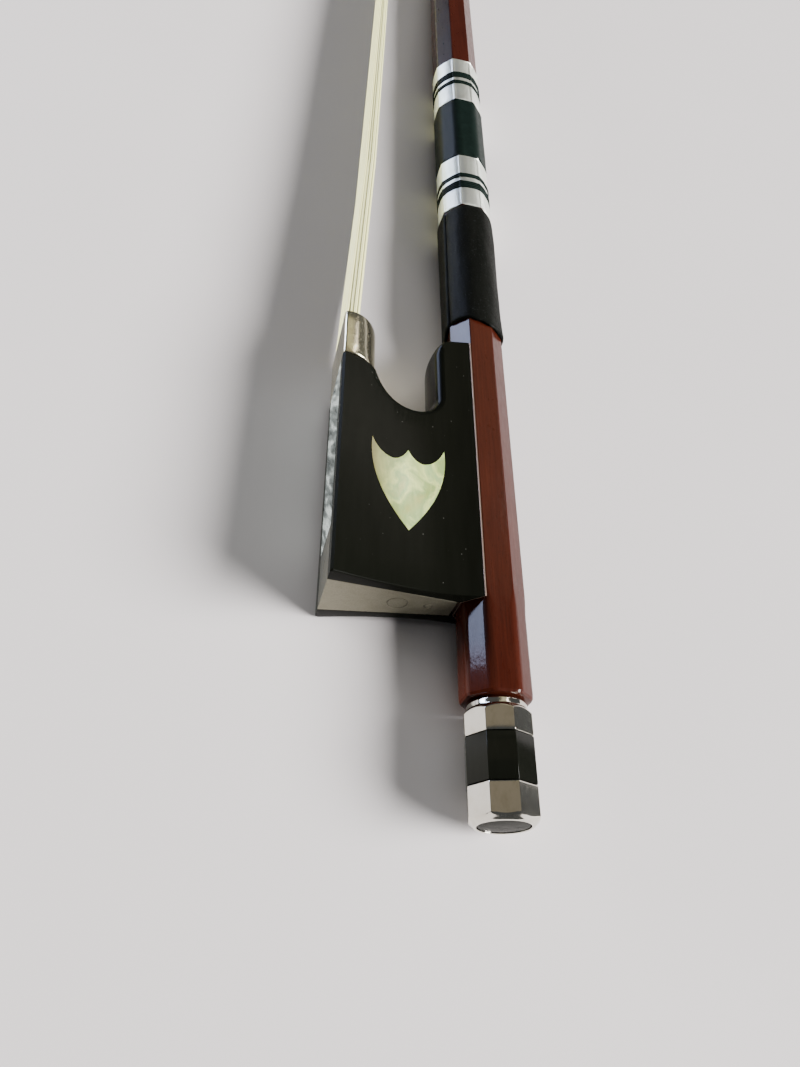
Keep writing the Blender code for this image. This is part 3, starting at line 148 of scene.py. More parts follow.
def loft(rings, strips=False):
    """A closed body through rings, capped by one face or by strips from side to side."""
    count = len(rings[0])
    vertices = [point for ring in rings for point in ring]
    faces = skin(rings)
    for first in (0, len(vertices) - count):
        if not strips:
            faces.append(tuple(range(first, first + count)))
            continue
        for i in range(count // 2 - 1):
            far = count - 1 - i
            faces.append((first + i, first + i + 1, first + far - 1, first + far))
    return vertices, faces


def tube(rings):
    """A closed body through rings that come back to the first one."""
    count = len(rings[0])
    vertices = [point for ring in rings for point in ring]
    faces = skin(rings)
    last = len(vertices) - count
    for i in range(count):
        j = (i + 1) % count
        faces.append((last + i, last + j, j, i))
    return vertices, faces


def across(outline, y):
    return [Vector((x, y, z)) for x, z in outline]


def circle(radius, sides=32):
    return [(radius * cos(2 * pi * i / sides), radius * sin(2 * pi * i / sides))
            for i in range(sides)]


def box(low, high):
    outline = [(low[0], low[2]), (high[0], low[2]), (high[0], high[2]), (low[0], high[2])]
    return loft([across(outline, low[1]), across(outline, high[1])])


def carve(obj, shape, operation="DIFFERENCE"):
    """Cut, join or overlap one object with a shape, for good."""
    other = add_mesh("cutter", *shape)
    modifier = obj.modifiers.new("cut", "BOOLEAN")
    modifier.operation = operation
    modifier.object = other
    modifier.solver = "EXACT"
    bake(obj)
    mesh = other.data
    bpy.data.objects.remove(other)
    bpy.data.meshes.remove(mesh)


def bake(obj):
    """Turn an object's modifiers into its mesh."""
    bpy.context.view_layer.update()
    graph = bpy.context.evaluated_depsgraph_get()
    mesh = bpy.data.meshes.new_from_object(obj.evaluated_get(graph))
    old = obj.data
    obj.modifiers.clear()
    obj.data = mesh
    bpy.data.meshes.remove(old)


def soften(obj, width, segments=2, angle=30, keep=False):
    """Round an object's sharp edges a little."""
    modifier = obj.modifiers.new("soft_edges", "BEVEL")
    modifier.width = width
    modifier.segments = segments
    modifier.limit_method = "ANGLE"
    modifier.angle_limit = radians(angle)
    modifier.harden_normals = False
    if not keep:
        bake(obj)


def seat(obj, body, material, nodes=(), matrix=BOW):
    """Put a finished piece in its place, on its body and in its material."""
    obj.data.transform(matrix)
    obj.data.materials.clear()
    obj.data.materials.append(material)
    if nodes:
        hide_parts(*nodes)
    if body:
        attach(obj, body)
    return obj


def curve_point(controls, share):
    points = [Vector(control) for control in controls]
    while len(points) > 1:
        points = [a.lerp(b, share) for a, b in zip(points, points[1:])]
    return points[0]


def curve_points(controls, steps):
    return [curve_point(controls, step / steps) for step in range(steps + 1)]


def soft_octagon(half, radius, arc=4, lead=0.06, roll=0.0):
    """Points (x, z) round an octagon with rounded corners and a short lead on each flat."""
    reach = (half - radius) / cos(HALF_EIGHTH)
    points = []
    for corner in range(8):
        middle = HALF_EIGHTH + EIGHTH * corner + radians(roll)
        centre = Vector((reach * cos(middle), reach * sin(middle)))
        for step in range(arc + 1):
            angle = middle - HALF_EIGHTH + EIGHTH * step / arc
            spoke = Vector((cos(angle), sin(angle)))
            along = Vector((-spoke.y, spoke.x))
            if step == 0:
                points.append(centre + spoke * radius - along * lead)
            points.append(centre + spoke * radius)
            if step == arc:
                points.append(centre + spoke * radius + along * lead)
    return [tuple(point) for point in points]


def spoke(off, half, rounding):
    """Reach of a rounded octagon at an angle off one of its corners."""
    middle = (half - rounding) / cos(HALF_EIGHTH)
    edge = atan2(rounding * sin(HALF_EIGHTH), middle + rounding * cos(HALF_EIGHTH))
    if abs(off) < edge:
        return middle * cos(off) + sqrt(max(0.0, rounding ** 2 - (middle * sin(off)) ** 2))
    return half / cos(HALF_EIGHTH - abs(off))


# Node helpers for the materials

def new_material(name):
    material = bpy.data.materials.new(name)
    material.use_nodes = True
    return material, material.node_tree, material.node_tree.nodes["Principled BSDF"]


def node(tree, kind, links=None, values=None, **settings):
    """A shader node with its settings, its values and its incoming links."""
    made = tree.nodes.new(kind)
    for key, value in settings.items():
        setattr(made, key, value)
    for key, value in (values or {}).items():
        made.inputs[key].default_value = value
    for key, socket in (links or {}).items():
        tree.links.new(socket, made.inputs[key])
    return made


def spots(tree, stretch=(1, 1, 1)):
    """The piece's own coordinates in millimetres of the bow's frame, stretched."""
    source = node(tree, "ShaderNodeTexCoord").outputs["Object"]
    place = node(tree, "ShaderNodeMapping", {"Vector": source}, vector_type="TEXTURE")
    place.inputs["Location"].default_value = PLACE.to_translation()
    place.inputs["Rotation"].default_value = (0, ROLL, 0)
    place.inputs["Scale"].default_value = (0.001 / stretch[0], 0.001 / stretch[1],
                                           0.001 / stretch[2])
    return place.outputs["Vector"]


def grain(tree, vector, scale, detail=3.0, roughness=0.55, distortion=0.0):
    made = node(tree, "ShaderNodeTexNoise", {"Vector": vector},
                {"Scale": scale, "Detail": detail, "Roughness": roughness,
                 "Distortion": distortion})
    return made.outputs["Fac"]


def ramp(tree, factor, stops):
    """Colours or greys between stops of (place, colour)."""
    made = node(tree, "ShaderNodeValToRGB", {"Fac": factor})
    band = made.color_ramp
    while len(band.elements) < len(stops):
        band.elements.new(0.5)
    for element, (place, colour) in zip(band.elements, stops):
        element.position = place
        if isinstance(colour, (int, float)):
            colour = (colour, colour, colour)
        element.color = (*colour, 1.0)
    return made.outputs["Color"]


def mix(tree, factor, a, b, blend="MIX"):
    """A mix of two colours, each a socket or a fixed colour."""
    made = node(tree, "ShaderNodeMix", data_type="RGBA", blend_type=blend)
    for index, value in ((0, factor), (6, a), (7, b)):
        if isinstance(value, bpy.types.NodeSocket):
            tree.links.new(value, made.inputs[index])
        elif index:
            made.inputs[index].default_value = (*value, 1.0)
        else:
            made.inputs[index].default_value = value
    return made.outputs[2]


def level(tree, factor, low, high, out_low=0.0, out_high=1.0):
    made = node(tree, "ShaderNodeMapRange", {"Value": factor},
                {"From Min": low, "From Max": high, "To Min": out_low, "To Max": out_high})
    return made.outputs["Result"]


def maths(tree, operation, a, b=0.5):
    made = node(tree, "ShaderNodeMath", operation=operation)
    for index, value in ((0, a), (1, b)):
        if isinstance(value, bpy.types.NodeSocket):
            tree.links.new(value, made.inputs[index])
        else:
            made.inputs[index].default_value = value
    return made.outputs[0]


def bump(tree, shader, height, depth, strength=1.0, under=None):
    """Bump of a depth in metres, over another one if it is given."""
    made = node(tree, "ShaderNodeBump", {"Height": height},
                {"Distance": depth, "Strength": strength})
    if under:
        tree.links.new(under, made.inputs["Normal"])
    tree.links.new(made.outputs["Normal"], shader.inputs["Normal"])
    return made.outputs["Normal"]


def join(tree, socket, shader, name):
    tree.links.new(socket, shader.inputs[name])


def put(shader, **values):
    """Fixed values of a shader's sockets, with underscores for spaces."""
    for key, value in values.items():
        shader.inputs[key.replace("_", " ")].default_value = value


# Materials

def varnished_wood():
    """Red-brown figured wood under a clear varnish with a slightly uneven skin."""
    material, tree, shader = new_material("varnished_wood_dressed")
    fibre = grain(tree, spots(tree, (3.4, 0.09, 3.4)), 1.0, 4.0, 0.6)
    cloud = grain(tree, spots(tree, (0.30, 0.05, 0.30)), 1.0, 3.0, 0.5)
    pores = grain(tree, spots(tree, (8.0, 0.9, 8.0)), 1.0, 2.0, 0.5)
    base = ramp(tree, fibre, [(0.25, (0.027, 0.0048, 0.0022)), (0.50, (0.036, 0.0066, 0.0030)),
                              (0.78, (0.047, 0.0095, 0.0044))])
    tone = ramp(tree, cloud, [(0.30, (0.82, 0.78, 0.78)), (0.70, (1.12, 1.14, 1.12))])
    toned = mix(tree, 1.0, base, tone, "MULTIPLY")
    dark = level(tree, pores, 0.60, 0.72, 0.0, 0.6)
    join(tree, mix(tree, dark, toned, (0.014, 0.0026, 0.0014)), shader, "Base Color")
    rough = grain(tree, spots(tree, (1.4, 0.5, 1.4)), 1.0, 3.0)
    join(tree, level(tree, rough, 0.3, 0.7, 0.26, 0.40), shader, "Roughness")
    put(shader, Coat_Weight=0.3, Coat_Roughness=0.10, Coat_IOR=1.5, IOR=1.12)
    skin_ = bump(tree, shader, grain(tree, spots(tree, (1.1, 0.7, 1.1)), 1.0, 3.0), 0.00001)
    waves = node(tree, "ShaderNodeBump", {"Height": grain(tree, spots(tree, (1.6, 0.8, 1.6)),
                                                         1.0, 3.0, 0.6), "Normal": skin_},
                 {"Distance": 0.000012, "Strength": 1.0})
    tree.links.new(waves.outputs["Normal"], shader.inputs["Coat Normal"])
    return material


def ebony(name, rough, glossy, dusty):
    """Black wood with short pores and dust specks, its rubbing and its dust as asked."""
    material, tree, shader = new_material(name)
    tone = grain(tree, spots(tree, (0.9, 0.10, 0.9)), 1.0, 4.0, 0.6)
    base = ramp(tree, tone, [(0.3, (0.0034, 0.0038, 0.0025)), (0.7, (0.0046, 0.0050, 0.0035))])
    specks = node(tree, "ShaderNodeTexVoronoi", {"Vector": spots(tree, (0.9, 0.75, 0.9))},
                  {"Scale": 1.0, "Randomness": 1.0})
    dots = level(tree, specks.outputs["Distance"], 0.045, 0.075, 1.0, 0.0)
    patchy = level(tree, grain(tree, spots(tree, (0.2, 0.2, 0.2)), 1.0, 1.0), 0.48, 0.60)
    dust = maths(tree, "MULTIPLY", maths(tree, "MULTIPLY", dots, patchy), dusty)
    join(tree, mix(tree, dust, base, (0.09, 0.09, 0.08)), shader, "Base Color")
    fine = grain(tree, spots(tree, (1.5, 0.5, 1.5)), 1.0, 4.0)
    join(tree, level(tree, fine, 0.3, 0.7, rough * 0.94, rough * 1.06), shader, "Roughness")
    put(shader, IOR=glossy)
    pores = level(tree, grain(tree, spots(tree, (7.0, 0.8, 7.0)), 1.0, 2.0), 0.62, 0.72)
    bump(tree, shader, pores, -0.000006, 0.2)
    return material


def pearl():
    """Mother-of-pearl, yellow-green towards one edge, with soft green and pink clouds."""
    material, tree, shader = new_material("pearl_dressed")
    place = spots(tree)
    cloud = grain(tree, spots(tree, (0.22, 0.16, 0.22)), 1.0, 3.0, 0.5, 0.8)
    base = ramp(tree, cloud, [(0.28, (0.34, 0.36, 0.11)), (0.42, (0.28, 0.38, 0.14)),
                              (0.52, (0.56, 0.64, 0.23)), (0.60, (0.32, 0.45, 0.19)),
                              (0.74, (0.50, 0.49, 0.20))])
    split = node(tree, "ShaderNodeSeparateXYZ", {"Vector": place})
    # Darker towards the heel, and darker and yellower towards the edge nearest the slide.
    foot = level(tree, split.outputs["Y"], 9.5, 18.0, 0.75, 0.0)
    darker = mix(tree, foot, base, (0.20, 0.23, 0.085))
    edge = level(tree, split.outputs["X"], -17.2, -12.6, 1.0, 0.0)
    slide_edge_toned = mix(tree, edge, darker, (0.115, 0.105, 0.03))
    line = grain(tree, spots(tree, (1.3, 0.35, 0.8)), 1.0, 4.0, 0.6, 1.2)
    veil = ramp(tree, line, [(0.35, (0.84, 0.88, 0.80)), (0.65, (1.06, 1.04, 1.04))])
    join(tree, mix(tree, 1.0, slide_edge_toned, veil, "MULTIPLY"), shader, "Base Color")
    join(tree, level(tree, line, 0.3, 0.7, 0.10, 0.16), shader, "Roughness")
    put(shader, Coat_Weight=0.15, Coat_Roughness=0.08, IOR=1.25)
    bump(tree, shader, line, 0.000006, 0.5)
    return material


def slanting_pearl(name, stops, turn=-0.85, coat=0.4, ior=1.1):
    """Grey-blue mother-of-pearl with slanting bright streaks."""
    material, tree, shader = new_material(name)
    turned = node(tree, "ShaderNodeMapping", {"Vector": spots(tree)}, vector_type="TEXTURE")
    turned.inputs["Rotation"].default_value = (turn, 0.0, 0.0)
    turned.inputs["Scale"].default_value = (3.0, 9.0, 1.3)
    streak = grain(tree, turned.outputs["Vector"], 1.0, 2.0, 0.55, 0.25)
    join(tree, ramp(tree, streak, stops), shader, "Base Color")
    join(tree, level(tree, streak, 0.3, 0.7, 0.30, 0.14), shader, "Roughness")
    put(shader, Coat_Weight=coat, Coat_Roughness=0.08, IOR=ior)
    bump(tree, shader, streak, 0.000006, 0.5)
    return material


def metal(name, colour, rough, wear, scratch=0.000004, tarnish=(0.6, 0.55, 0.42)):
    """A polished metal with fine scratches and slight tarnish."""
    material, tree, shader = new_material(name)
    cloud = grain(tree, spots(tree, (0.8, 0.5, 0.8)), 1.0, 4.0, 0.6)
    dull = level(tree, cloud, 0.45, 0.75, 0.0, wear)
    base = mix(tree, dull, colour, tuple(a * b for a, b in zip(colour, tarnish)))
    join(tree, base, shader, "Base Color")
    fine = grain(tree, spots(tree, (5.0, 1.2, 5.0)), 1.0, 4.0, 0.65)
    join(tree, level(tree, fine, 0.3, 0.75, rough * 0.75, rough * 1.35), shader, "Roughness")
    put(shader, Metallic=1.0)
    lines = grain(tree, spots(tree, (14.0, 1.0, 14.0)), 1.0, 3.0, 0.6, 0.4)
    bump(tree, shader, lines, scratch, 0.6)
    return material


def silver_foil():
    """Bright foil wound from a fine flat wire, with shallow creases."""
    material, tree, shader = new_material("silver_foil_dressed")
    crease = grain(tree, spots(tree, (0.9, 0.35, 0.9)), 1.0, 3.0, 0.5, 0.6)
    base = ramp(tree, crease, [(0.3, (0.82, 0.86, 0.77)), (0.7, (0.93, 0.96, 0.89))])
    join(tree, base, shader, "Base Color")
    join(tree, level(tree, crease, 0.3, 0.7, 0.44, 0.36), shader, "Roughness")
    put(shader, Metallic=1.0)
    turns = node(tree, "ShaderNodeTexWave", {"Vector": spots(tree)}, {"Scale": 1.1},
                 wave_type="BANDS", bands_direction="Y")
    under = bump(tree, shader, turns.outputs["Fac"], 0.000045, 1.0)
    bump(tree, shader, crease, 0.00005, 0.3, under)
    return material


def dark_silk():
    """Dark green-black thread wound side by side, pressed smooth."""
    material, tree, shader = new_material("dark_silk_dressed")
    tone = grain(tree, spots(tree, (1.2, 2.0, 1.2)), 1.0, 3.0)
    base = ramp(tree, tone, [(0.3, (0.0028, 0.0060, 0.0048)), (0.7, (0.0058, 0.0118, 0.0096))])
    join(tree, base, shader, "Base Color")
    join(tree, level(tree, tone, 0.3, 0.7, 0.34, 0.46), shader, "Roughness")
    put(shader, IOR=1.12)
    turns = node(tree, "ShaderNodeTexWave", {"Vector": spots(tree)},
                 {"Scale": 0.9, "Distortion": 0.6, "Detail": 1.0}, wave_type="BANDS",
                 bands_direction="Y")
    bump(tree, shader, turns.outputs["Fac"], 0.000012, 0.35)
    return material


def black_leather():
    """Thin black leather, worn soft, with a fine grain and pale specks painted into its colour as glints."""
    material, tree, shader = new_material("black_leather_dressed")
    cells = node(tree, "ShaderNodeTexVoronoi", {"Vector": spots(tree, (2.6, 2.2, 2.6))},
                 {"Scale": 1.0, "Randomness": 1.0}, feature="DISTANCE_TO_EDGE")
    grit = grain(tree, spots(tree, (4.0, 4.0, 4.0)), 1.0, 3.0, 0.6)
    cloud = grain(tree, spots(tree, (0.35, 0.2, 0.35)), 1.0, 3.0)
    # Pale specks painted into the colour: painted glints that stand in for the sparkle of the sheen.
    painted_glint = level(tree, grain(tree, spots(tree, (5.0, 5.0, 5.0)), 1.0, 2.0), 0.66, 0.72)
    base = ramp(tree, cloud, [(0.3, (0.0026, 0.0030, 0.0023)), (0.7, (0.0044, 0.0048, 0.0038))])
    join(tree, mix(tree, maths(tree, "MULTIPLY", painted_glint, 0.7), base, (0.05, 0.058, 0.055)),
         shader, "Base Color")
    join(tree, level(tree, grit, 0.3, 0.7, 0.38, 0.60), shader, "Roughness")
    put(shader, IOR=1.12)
    under = bump(tree, shader, cells.outputs["Distance"], 0.00005, 0.4)
    bump(tree, shader, grit, 0.00006, 0.8, under)
    return material


def plain_grained(name, colours, rough, stretch, depth):
    """A quiet material with a grained colour, such as bone or plain wood."""
    material, tree, shader = new_material(name)
    fibre = grain(tree, spots(tree, stretch), 1.0, 4.0, 0.6)
    join(tree, ramp(tree, fibre, [(0.3, colours[0]), (0.7, colours[1])]), shader, "Base Color")
    join(tree, level(tree, fibre, 0.3, 0.7, rough, rough * 1.3), shader, "Roughness")
    bump(tree, shader, fibre, depth, 0.5)
    return material


def horse_hair():
    """Cream horse hair that lets some light through, each hair a little different."""
    material, tree, shader = new_material("horse_hair_dressed")
    strand = grain(tree, spots(tree, (3.0, 0.01, 3.0)), 1.0, 2.0)
    base = ramp(tree, strand, [(0.25, (0.93, 0.92, 0.38)), (0.55, (0.97, 0.96, 0.45)),
                               (0.80, (0.99, 0.98, 0.52))])
    join(tree, base, shader, "Base Color")
    join(tree, level(tree, strand, 0.3, 0.7, 0.30, 0.42), shader, "Roughness")
    put(shader, Specular_IOR_Level=0.4)
    through = node(tree, "ShaderNodeBsdfTranslucent", None, {"Color": (0.99, 0.99, 0.93, 1)})
    both = node(tree, "ShaderNodeMixShader", {1: shader.outputs["BSDF"],
                                              2: through.outputs["BSDF"]}, {"Fac": 0.2})
    tree.links.new(both.outputs["Shader"], tree.nodes["Material Output"].inputs["Surface"])
    return material


def floor_material():
    material, tree, shader = new_material("floor_pale")
    tone = grain(tree, spots(tree, (0.02, 0.02, 0.02)), 1.0, 3.0)
    base = ramp(tree, tone, [(0.3, (0.710, 0.674, 0.668)), (0.7, (0.725, 0.690, 0.684))])
    join(tree, base, shader, "Base Color")
    put(shader, Roughness=0.7, Specular_IOR_Level=0.3)
    return material


WOOD = varnished_wood()
EBONY = ebony("ebony_dressed", 0.25, 1.13, 1.0)
POLISHED_EBONY = ebony("polished_ebony_dressed", 0.12, 1.25, 0.0)
PEARL = pearl()
SLIDE_PEARL = slanting_pearl("slide_pearl_dressed",
                             [(0.34, (0.022, 0.028, 0.028)), (0.45, (0.055, 0.066, 0.066)),
                              (0.53, (0.12, 0.14, 0.14)), (0.66, (0.34, 0.38, 0.38))])
EYE_PEARL = slanting_pearl("eye_pearl_dressed", [(0.30, (0.010, 0.011, 0.008)),
                                                 (0.70, (0.018, 0.019, 0.015))], 0.3, 0.0, 1.06)
NICKEL = metal("nickel_silver_dressed", (0.66, 0.63, 0.53), 0.24, 0.35)
BUTTON_METAL = metal("button_nickel_dressed", (0.70, 0.68, 0.60), 0.10, 0.30, 0.0000002)
FERRULE_METAL = metal("ferrule_nickel_dressed", (0.80, 0.75, 0.54), 0.22, 0.30, 0.000002)
LINING_METAL = metal("lining_nickel_dressed", (0.30, 0.22, 0.175), 0.55, 0.10, 0.000001)
PLATE = metal("plate_nickel_dressed", (0.24, 0.228, 0.172), 0.55, 0.25, 0.000003)
STEEL = metal("steel_dressed", (0.50, 0.51, 0.52), 0.28, 0.30)
BRASS = metal("brass_dressed", (0.68, 0.48, 0.20), 0.30, 0.40)
FOIL = silver_foil()
SILK = dark_silk()
LEATHER = black_leather()
BONE = plain_grained("white_bone_dressed", ((0.70, 0.66, 0.55), (0.80, 0.77, 0.68)), 0.30,
                     (1.5, 0.25, 1.5), 0.000004)
BOXWOOD = plain_grained("box_wood_dressed", ((0.36, 0.23, 0.12), (0.48, 0.34, 0.19)), 0.5,
                        (3.0, 0.4, 3.0), 0.00001)
THREAD = plain_grained("tied_thread_dressed", ((0.22, 0.03, 0.025), (0.36, 0.06, 0.05)), 0.6,
                       (3.0, 9.0, 3.0), 0.00003)
HAIR = horse_hair()


# Stick and head

def stick_half(y):
    if y <= TAPER_START:
        return HALF
    share = (y - TAPER_START) / (STICK_LENGTH - TAPER_START)
    return HALF + (HEAD_FLATS / 2 - HALF) * share


def camber(y):
    return CAMBER_RISE * (max(0.0, y - CAMBER_START) / (STICK_LENGTH - CAMBER_START)) ** 2


def camber_slope(y):
    return 2 * CAMBER_RISE * max(0.0, y - CAMBER_START) / (STICK_LENGTH - CAMBER_START) ** 2


def stick_edges(y):
    aside = Vector((1, -camber_slope(y), 0)).normalized() * stick_half(y)
    axis = Vector((camber(y), y, 0))
    return axis - aside, axis + aside


def octagon_width(share):
    corner = tan(HALF_EIGHTH)
    return min(1.0, corner + (1 - corner) * min(share, 1 - share) / CORNER_SHARE)


def face_width(share):
    """Width of the head's face at a share of its length, on a smooth curve."""
    last = len(FACE_SHARES) - 1
    for i in range(last):
        if share <= FACE_SHARES[i + 1] or i == last - 1:
            break
    def slope(k):
        a = max(0, k - 1)
        b = min(last, k + 1)
        return (FACE_WIDTHS[b] - FACE_WIDTHS[a]) / (FACE_SHARES[b] - FACE_SHARES[a])
    span = FACE_SHARES[i + 1] - FACE_SHARES[i]
    t = min(1.0, max(0.0, (share - FACE_SHARES[i]) / span))
    p, q = FACE_WIDTHS[i], FACE_WIDTHS[i + 1]
    m, n = slope(i) * span, slope(i + 1) * span
    return ((2 * t ** 3 - 3 * t ** 2 + 1) * p + (t ** 3 - 2 * t ** 2 + t) * m
            + (-2 * t ** 3 + 3 * t ** 2) * q + (t ** 3 - t ** 2) * n)


def hair_start():
    """Middle of the hair where it leaves the ferrule."""
    return Vector((-(FACE_FRONT - 0.5 - 0.1) + 0.6, HEEL + FERRULE_FRONT, 0))


def head_directions():
    axis = Vector((camber(STICK_LENGTH), STICK_LENGTH, 0))
    span = axis - hair_start()
    drop = FACE_DROP + 0.6 + 0.9 + 0.3 + 0.6
    tilt = atan2(span.x, span.y) - atan2(drop, sqrt(span.length_squared - drop ** 2))
    return Vector((sin(tilt), cos(tilt), 0)), Vector((-cos(tilt), sin(tilt), 0))


HEAD_AXIS = Vector((camber(STICK_LENGTH), STICK_LENGTH, 0))
FORWARD, DOWNWARD = head_directions()


def head_point(along, down, side=0.0):
    return HEAD_AXIS + FORWARD * along + DOWNWARD * down + Vector((0, 0, side))


def head_place(point):
    reach = point - HEAD_AXIS
    return Vector((reach.dot(FORWARD), reach.dot(DOWNWARD)))


def unit_section(radius):
    """The stick's rounded section as (share across, half width) points."""
    return [((x + 1) / 2, z) for x, z in soft_octagon(1.0, radius, 4, 0.012)]


def stick_section(y, radius=0.07, inset=0.0):
    back, top = stick_edges(y)
    half = stick_half(y)
    middle = (back + top) / 2
    small = 1 - inset / half
    return [middle.lerp(back.lerp(top, share), small) + Vector((0, 0, z * half * small))
            for share, z in unit_section(radius)]


def head_section(share):
    start = STICK_LENGTH - THROAT_RUN
    half = stick_half(start)
    low, high = (head_place(edge) for edge in stick_edges(start))
    peak = FACE_LENGTH * 0.42
    back_curve = [low, low + Vector((THROAT_RUN * 0.62, 0)),
                  (FACE_LENGTH * 0.08, FACE_DROP * 0.36), (0, FACE_DROP)]
    ridge_curve = [high, high + Vector((THROAT_RUN, 0)), (peak, high.y),
                   (peak, FACE_DROP * 0.55), (FACE_LENGTH, FACE_DROP)]
    back = curve_point(back_curve, share)
    ridge = curve_point(ridge_curve, share)
    half_width = half + (FACE_WIDTH / 2 - half) * share ** 1.7
    ring = []
    for part, z in unit_section(0.09):
        spot = back.lerp(ridge, part)
        ratio = (1 - share) + share * face_width(part) / octagon_width(part)
        down = spot.y - BEAK_LIFT * part ** 3 * share
        ring.append(head_point(spot.x, down, half_width * z * ratio))
    return ring


def mortise_block(low, high, gap=0.0):
    """The head's pocket between two depths under the axis, a gap narrower all round."""
    rings = []
    floor = FACE_DROP - 6.0
    for side in (-1, 1):
        ring = []
        for along, down in ((3.2 + gap, low), (11.0 - gap, low), (11.0 - gap, high),
                            (3.2 + gap, high)):
            half = (4.2 + (5.8 - 4.2) * (down - floor) / 6.0) / 2 - gap
            ring.append(head_point(along, down, side * half))
        rings.append(ring)
    return loft(rings)


def make_stick():
    rings = [stick_section(y, 0.34, inset) for y, inset in ((0.0, 0.5), (0.10, 0.2), (0.4, 0.04),
                                                            (1.0, 0.0))]
    for step in range(12):
        y = 4 + step
        worn = 1 - min(1.0, max(0.0, (y - 11.5) / 3))
        rings.append(stick_section(y, 0.07 + 0.33 * worn * worn * (3 - 2 * worn)))
    for y in (20, 60, 100, 150, 158, 164):
        rings.append(stick_section(y))
    end = STICK_LENGTH - THROAT_RUN - 2.0
    for step in range(41):
        rings.append(stick_section(CAMBER_START + (end - CAMBER_START) * step / 40))
    for step in range(33):
        rings.append(head_section(step / 32))
    stick = add_mesh("stick_wood", *loft(rings, True))
    slot_rear = HEEL + 20.0 - 2.3 - 7.8
    slot_front = HEEL + 20.0 + 2.3 + 11.5
    carve(stick, loft([across(circle(1.6), -2), across(circle(1.6), slot_rear + 2)]))
    carve(stick, loft([across(circle(1.1), slot_front - 2), across(circle(1.1), slot_front + 9)]))
    carve(stick, box((-8.8, slot_rear, -1.8), (2.6, slot_front, 1.8)))
    carve(stick, mortise_block(FACE_DROP - 6.0, FACE_DROP + 2.0))
    shade(stick, 24)
    return seat(stick, "stick", WOOD, ["stick"])


def face_sheet(name, depth, thickness, material, cad):
    """A sheet on the head's face, with the hair's window cut through it."""
    section = unit_section(0.09)
    rings = []
    for layer in (0.0, thickness):
        ring = []
        for part, z in section:
            down = FACE_DROP + depth - BEAK_LIFT * part ** 3 + layer
            half = FACE_WIDTH / 2 * z * face_width(part) / octagon_width(part)
            ring.append(head_point(FACE_LENGTH * part, down, half))
        rings.append(ring)
    sheet = add_mesh(name, *loft(rings, True))
    carve(sheet, mortise_block(FACE_DROP - 6.0, FACE_DROP + 4.0))
    soften(sheet, 0.08, 2, 40)
    shade(sheet, 30)
    return seat(sheet, "stick", material, [cad])


# Grip

def sleeve_rings(profile, radius, wave=None, arc=8, lead=0.1):
    """Rings round the handle through (y, half flats) places, uneven by a function."""
    rings = []
    for y, half in profile:
        ring = []
        inner = half < 4.62
        for x, z in soft_octagon(half, 0.35 if inner else radius, arc, lead):
            shift = wave(atan2(z, x), y) if wave else (0.0, 0.0)
            size = 1 + shift[1] / half
            ring.append(Vector((x * size, y + shift[0], z * size)))
        rings.append(ring)
    return rings


RIM = ((-180, -1.0), (-140, -0.6), (-90, 0.1), (-30, 0.3), (10, 0.3), (37, 0.1), (66, 0.0),
       (94, 0.8), (116, 1.4), (134, 1.6), (152, 1.4), (166, 0.6), (180, -1.0))


def rim(angle):
    """How far the leather's rear edge lies ahead of its mean place, by the angle round it."""
    turned = (angle * 180 / pi + 180) % 360 - 180
    for (a, low), (b, high) in zip(RIM, RIM[1:]):
        if turned <= b:
            share = (turned - a) / (b - a)
            return low + (high - low) * share * share * (3 - 2 * share)
    return RIM[-1][1]


def leather_wave(angle, y):
    """Shift along the stick and swell of the leather at an angle and a place."""
    fade = max(0.0, 1 - (y - 61.8) / 8.0)
    front = max(0.0, 1 - (92.0 - y) / 2.5)
    spot = Vector((cos(angle) * 1.1, y * 0.09, sin(angle) * 1.1))
    swell = 0.14 * noise.noise(spot) + 0.06 * noise.noise(spot * 2.7)
    swell += 0.025 * noise.noise(spot * 9)
    seam = -0.30 * exp(-((angle - SEAM) / 0.03) ** 2)
    lip = 0.16 * exp(-((angle - SEAM - 0.13) / 0.12) ** 2) * (0.4 + 0.6 * fade)
    lift = 0.22 * fade ** 3 * exp(-((angle - 0.9) / 0.8) ** 2)
    return rim(angle) * fade ** 1.3 - 0.25 * front * cos(2 * angle), swell + seam + lip + lift


SEAM = 2.68


def make_leather():
    outer = 4.93
    inner = 4.45
    rear = 62.0
    front = 92.0
    profile = [(rear + 0.3, inner), (rear + 0.05, inner + 0.05), (rear - 0.02, outer - 0.26),
               (rear + 0.06, outer - 0.1), (rear + 0.25, outer), (rear + 0.6, outer + 0.03)]
    steps = 44
    for step in range(1, steps):
        profile.append((rear + 0.6 + (front - rear - 1.6) * step / steps, outer + 0.03))
    profile += [(front - 1.0, outer + 0.02), (front - 0.5, outer - 0.03),
                (front - 0.2, outer - 0.1), (front - 0.03, outer - 0.22), (front, outer - 0.34),
                (front - 0.1, inner + 0.05), (front - 0.3, inner)]
    sides = 160
    rings = []
    for y, half in profile:
        ring = []
        for i in range(sides):
            angle = 2 * pi * i / sides
            turned = angle if angle <= pi else angle - 2 * pi
            shift, swell = leather_wave(turned, y)
            off = (angle % EIGHTH) - HALF_EIGHTH
            radius = spoke(off, half, 0.1)
            if half > inner + 0.1:
                radius = spoke(off, half, 4.35) + swell
            ring.append(Vector((radius * cos(angle), y + shift, radius * sin(angle))))
        rings.append(ring)
    leather = add_mesh("thumb_leather_wrap", *tube(rings), 50)
    return seat(leather, "stick", LEATHER, ["thumb_leather"])


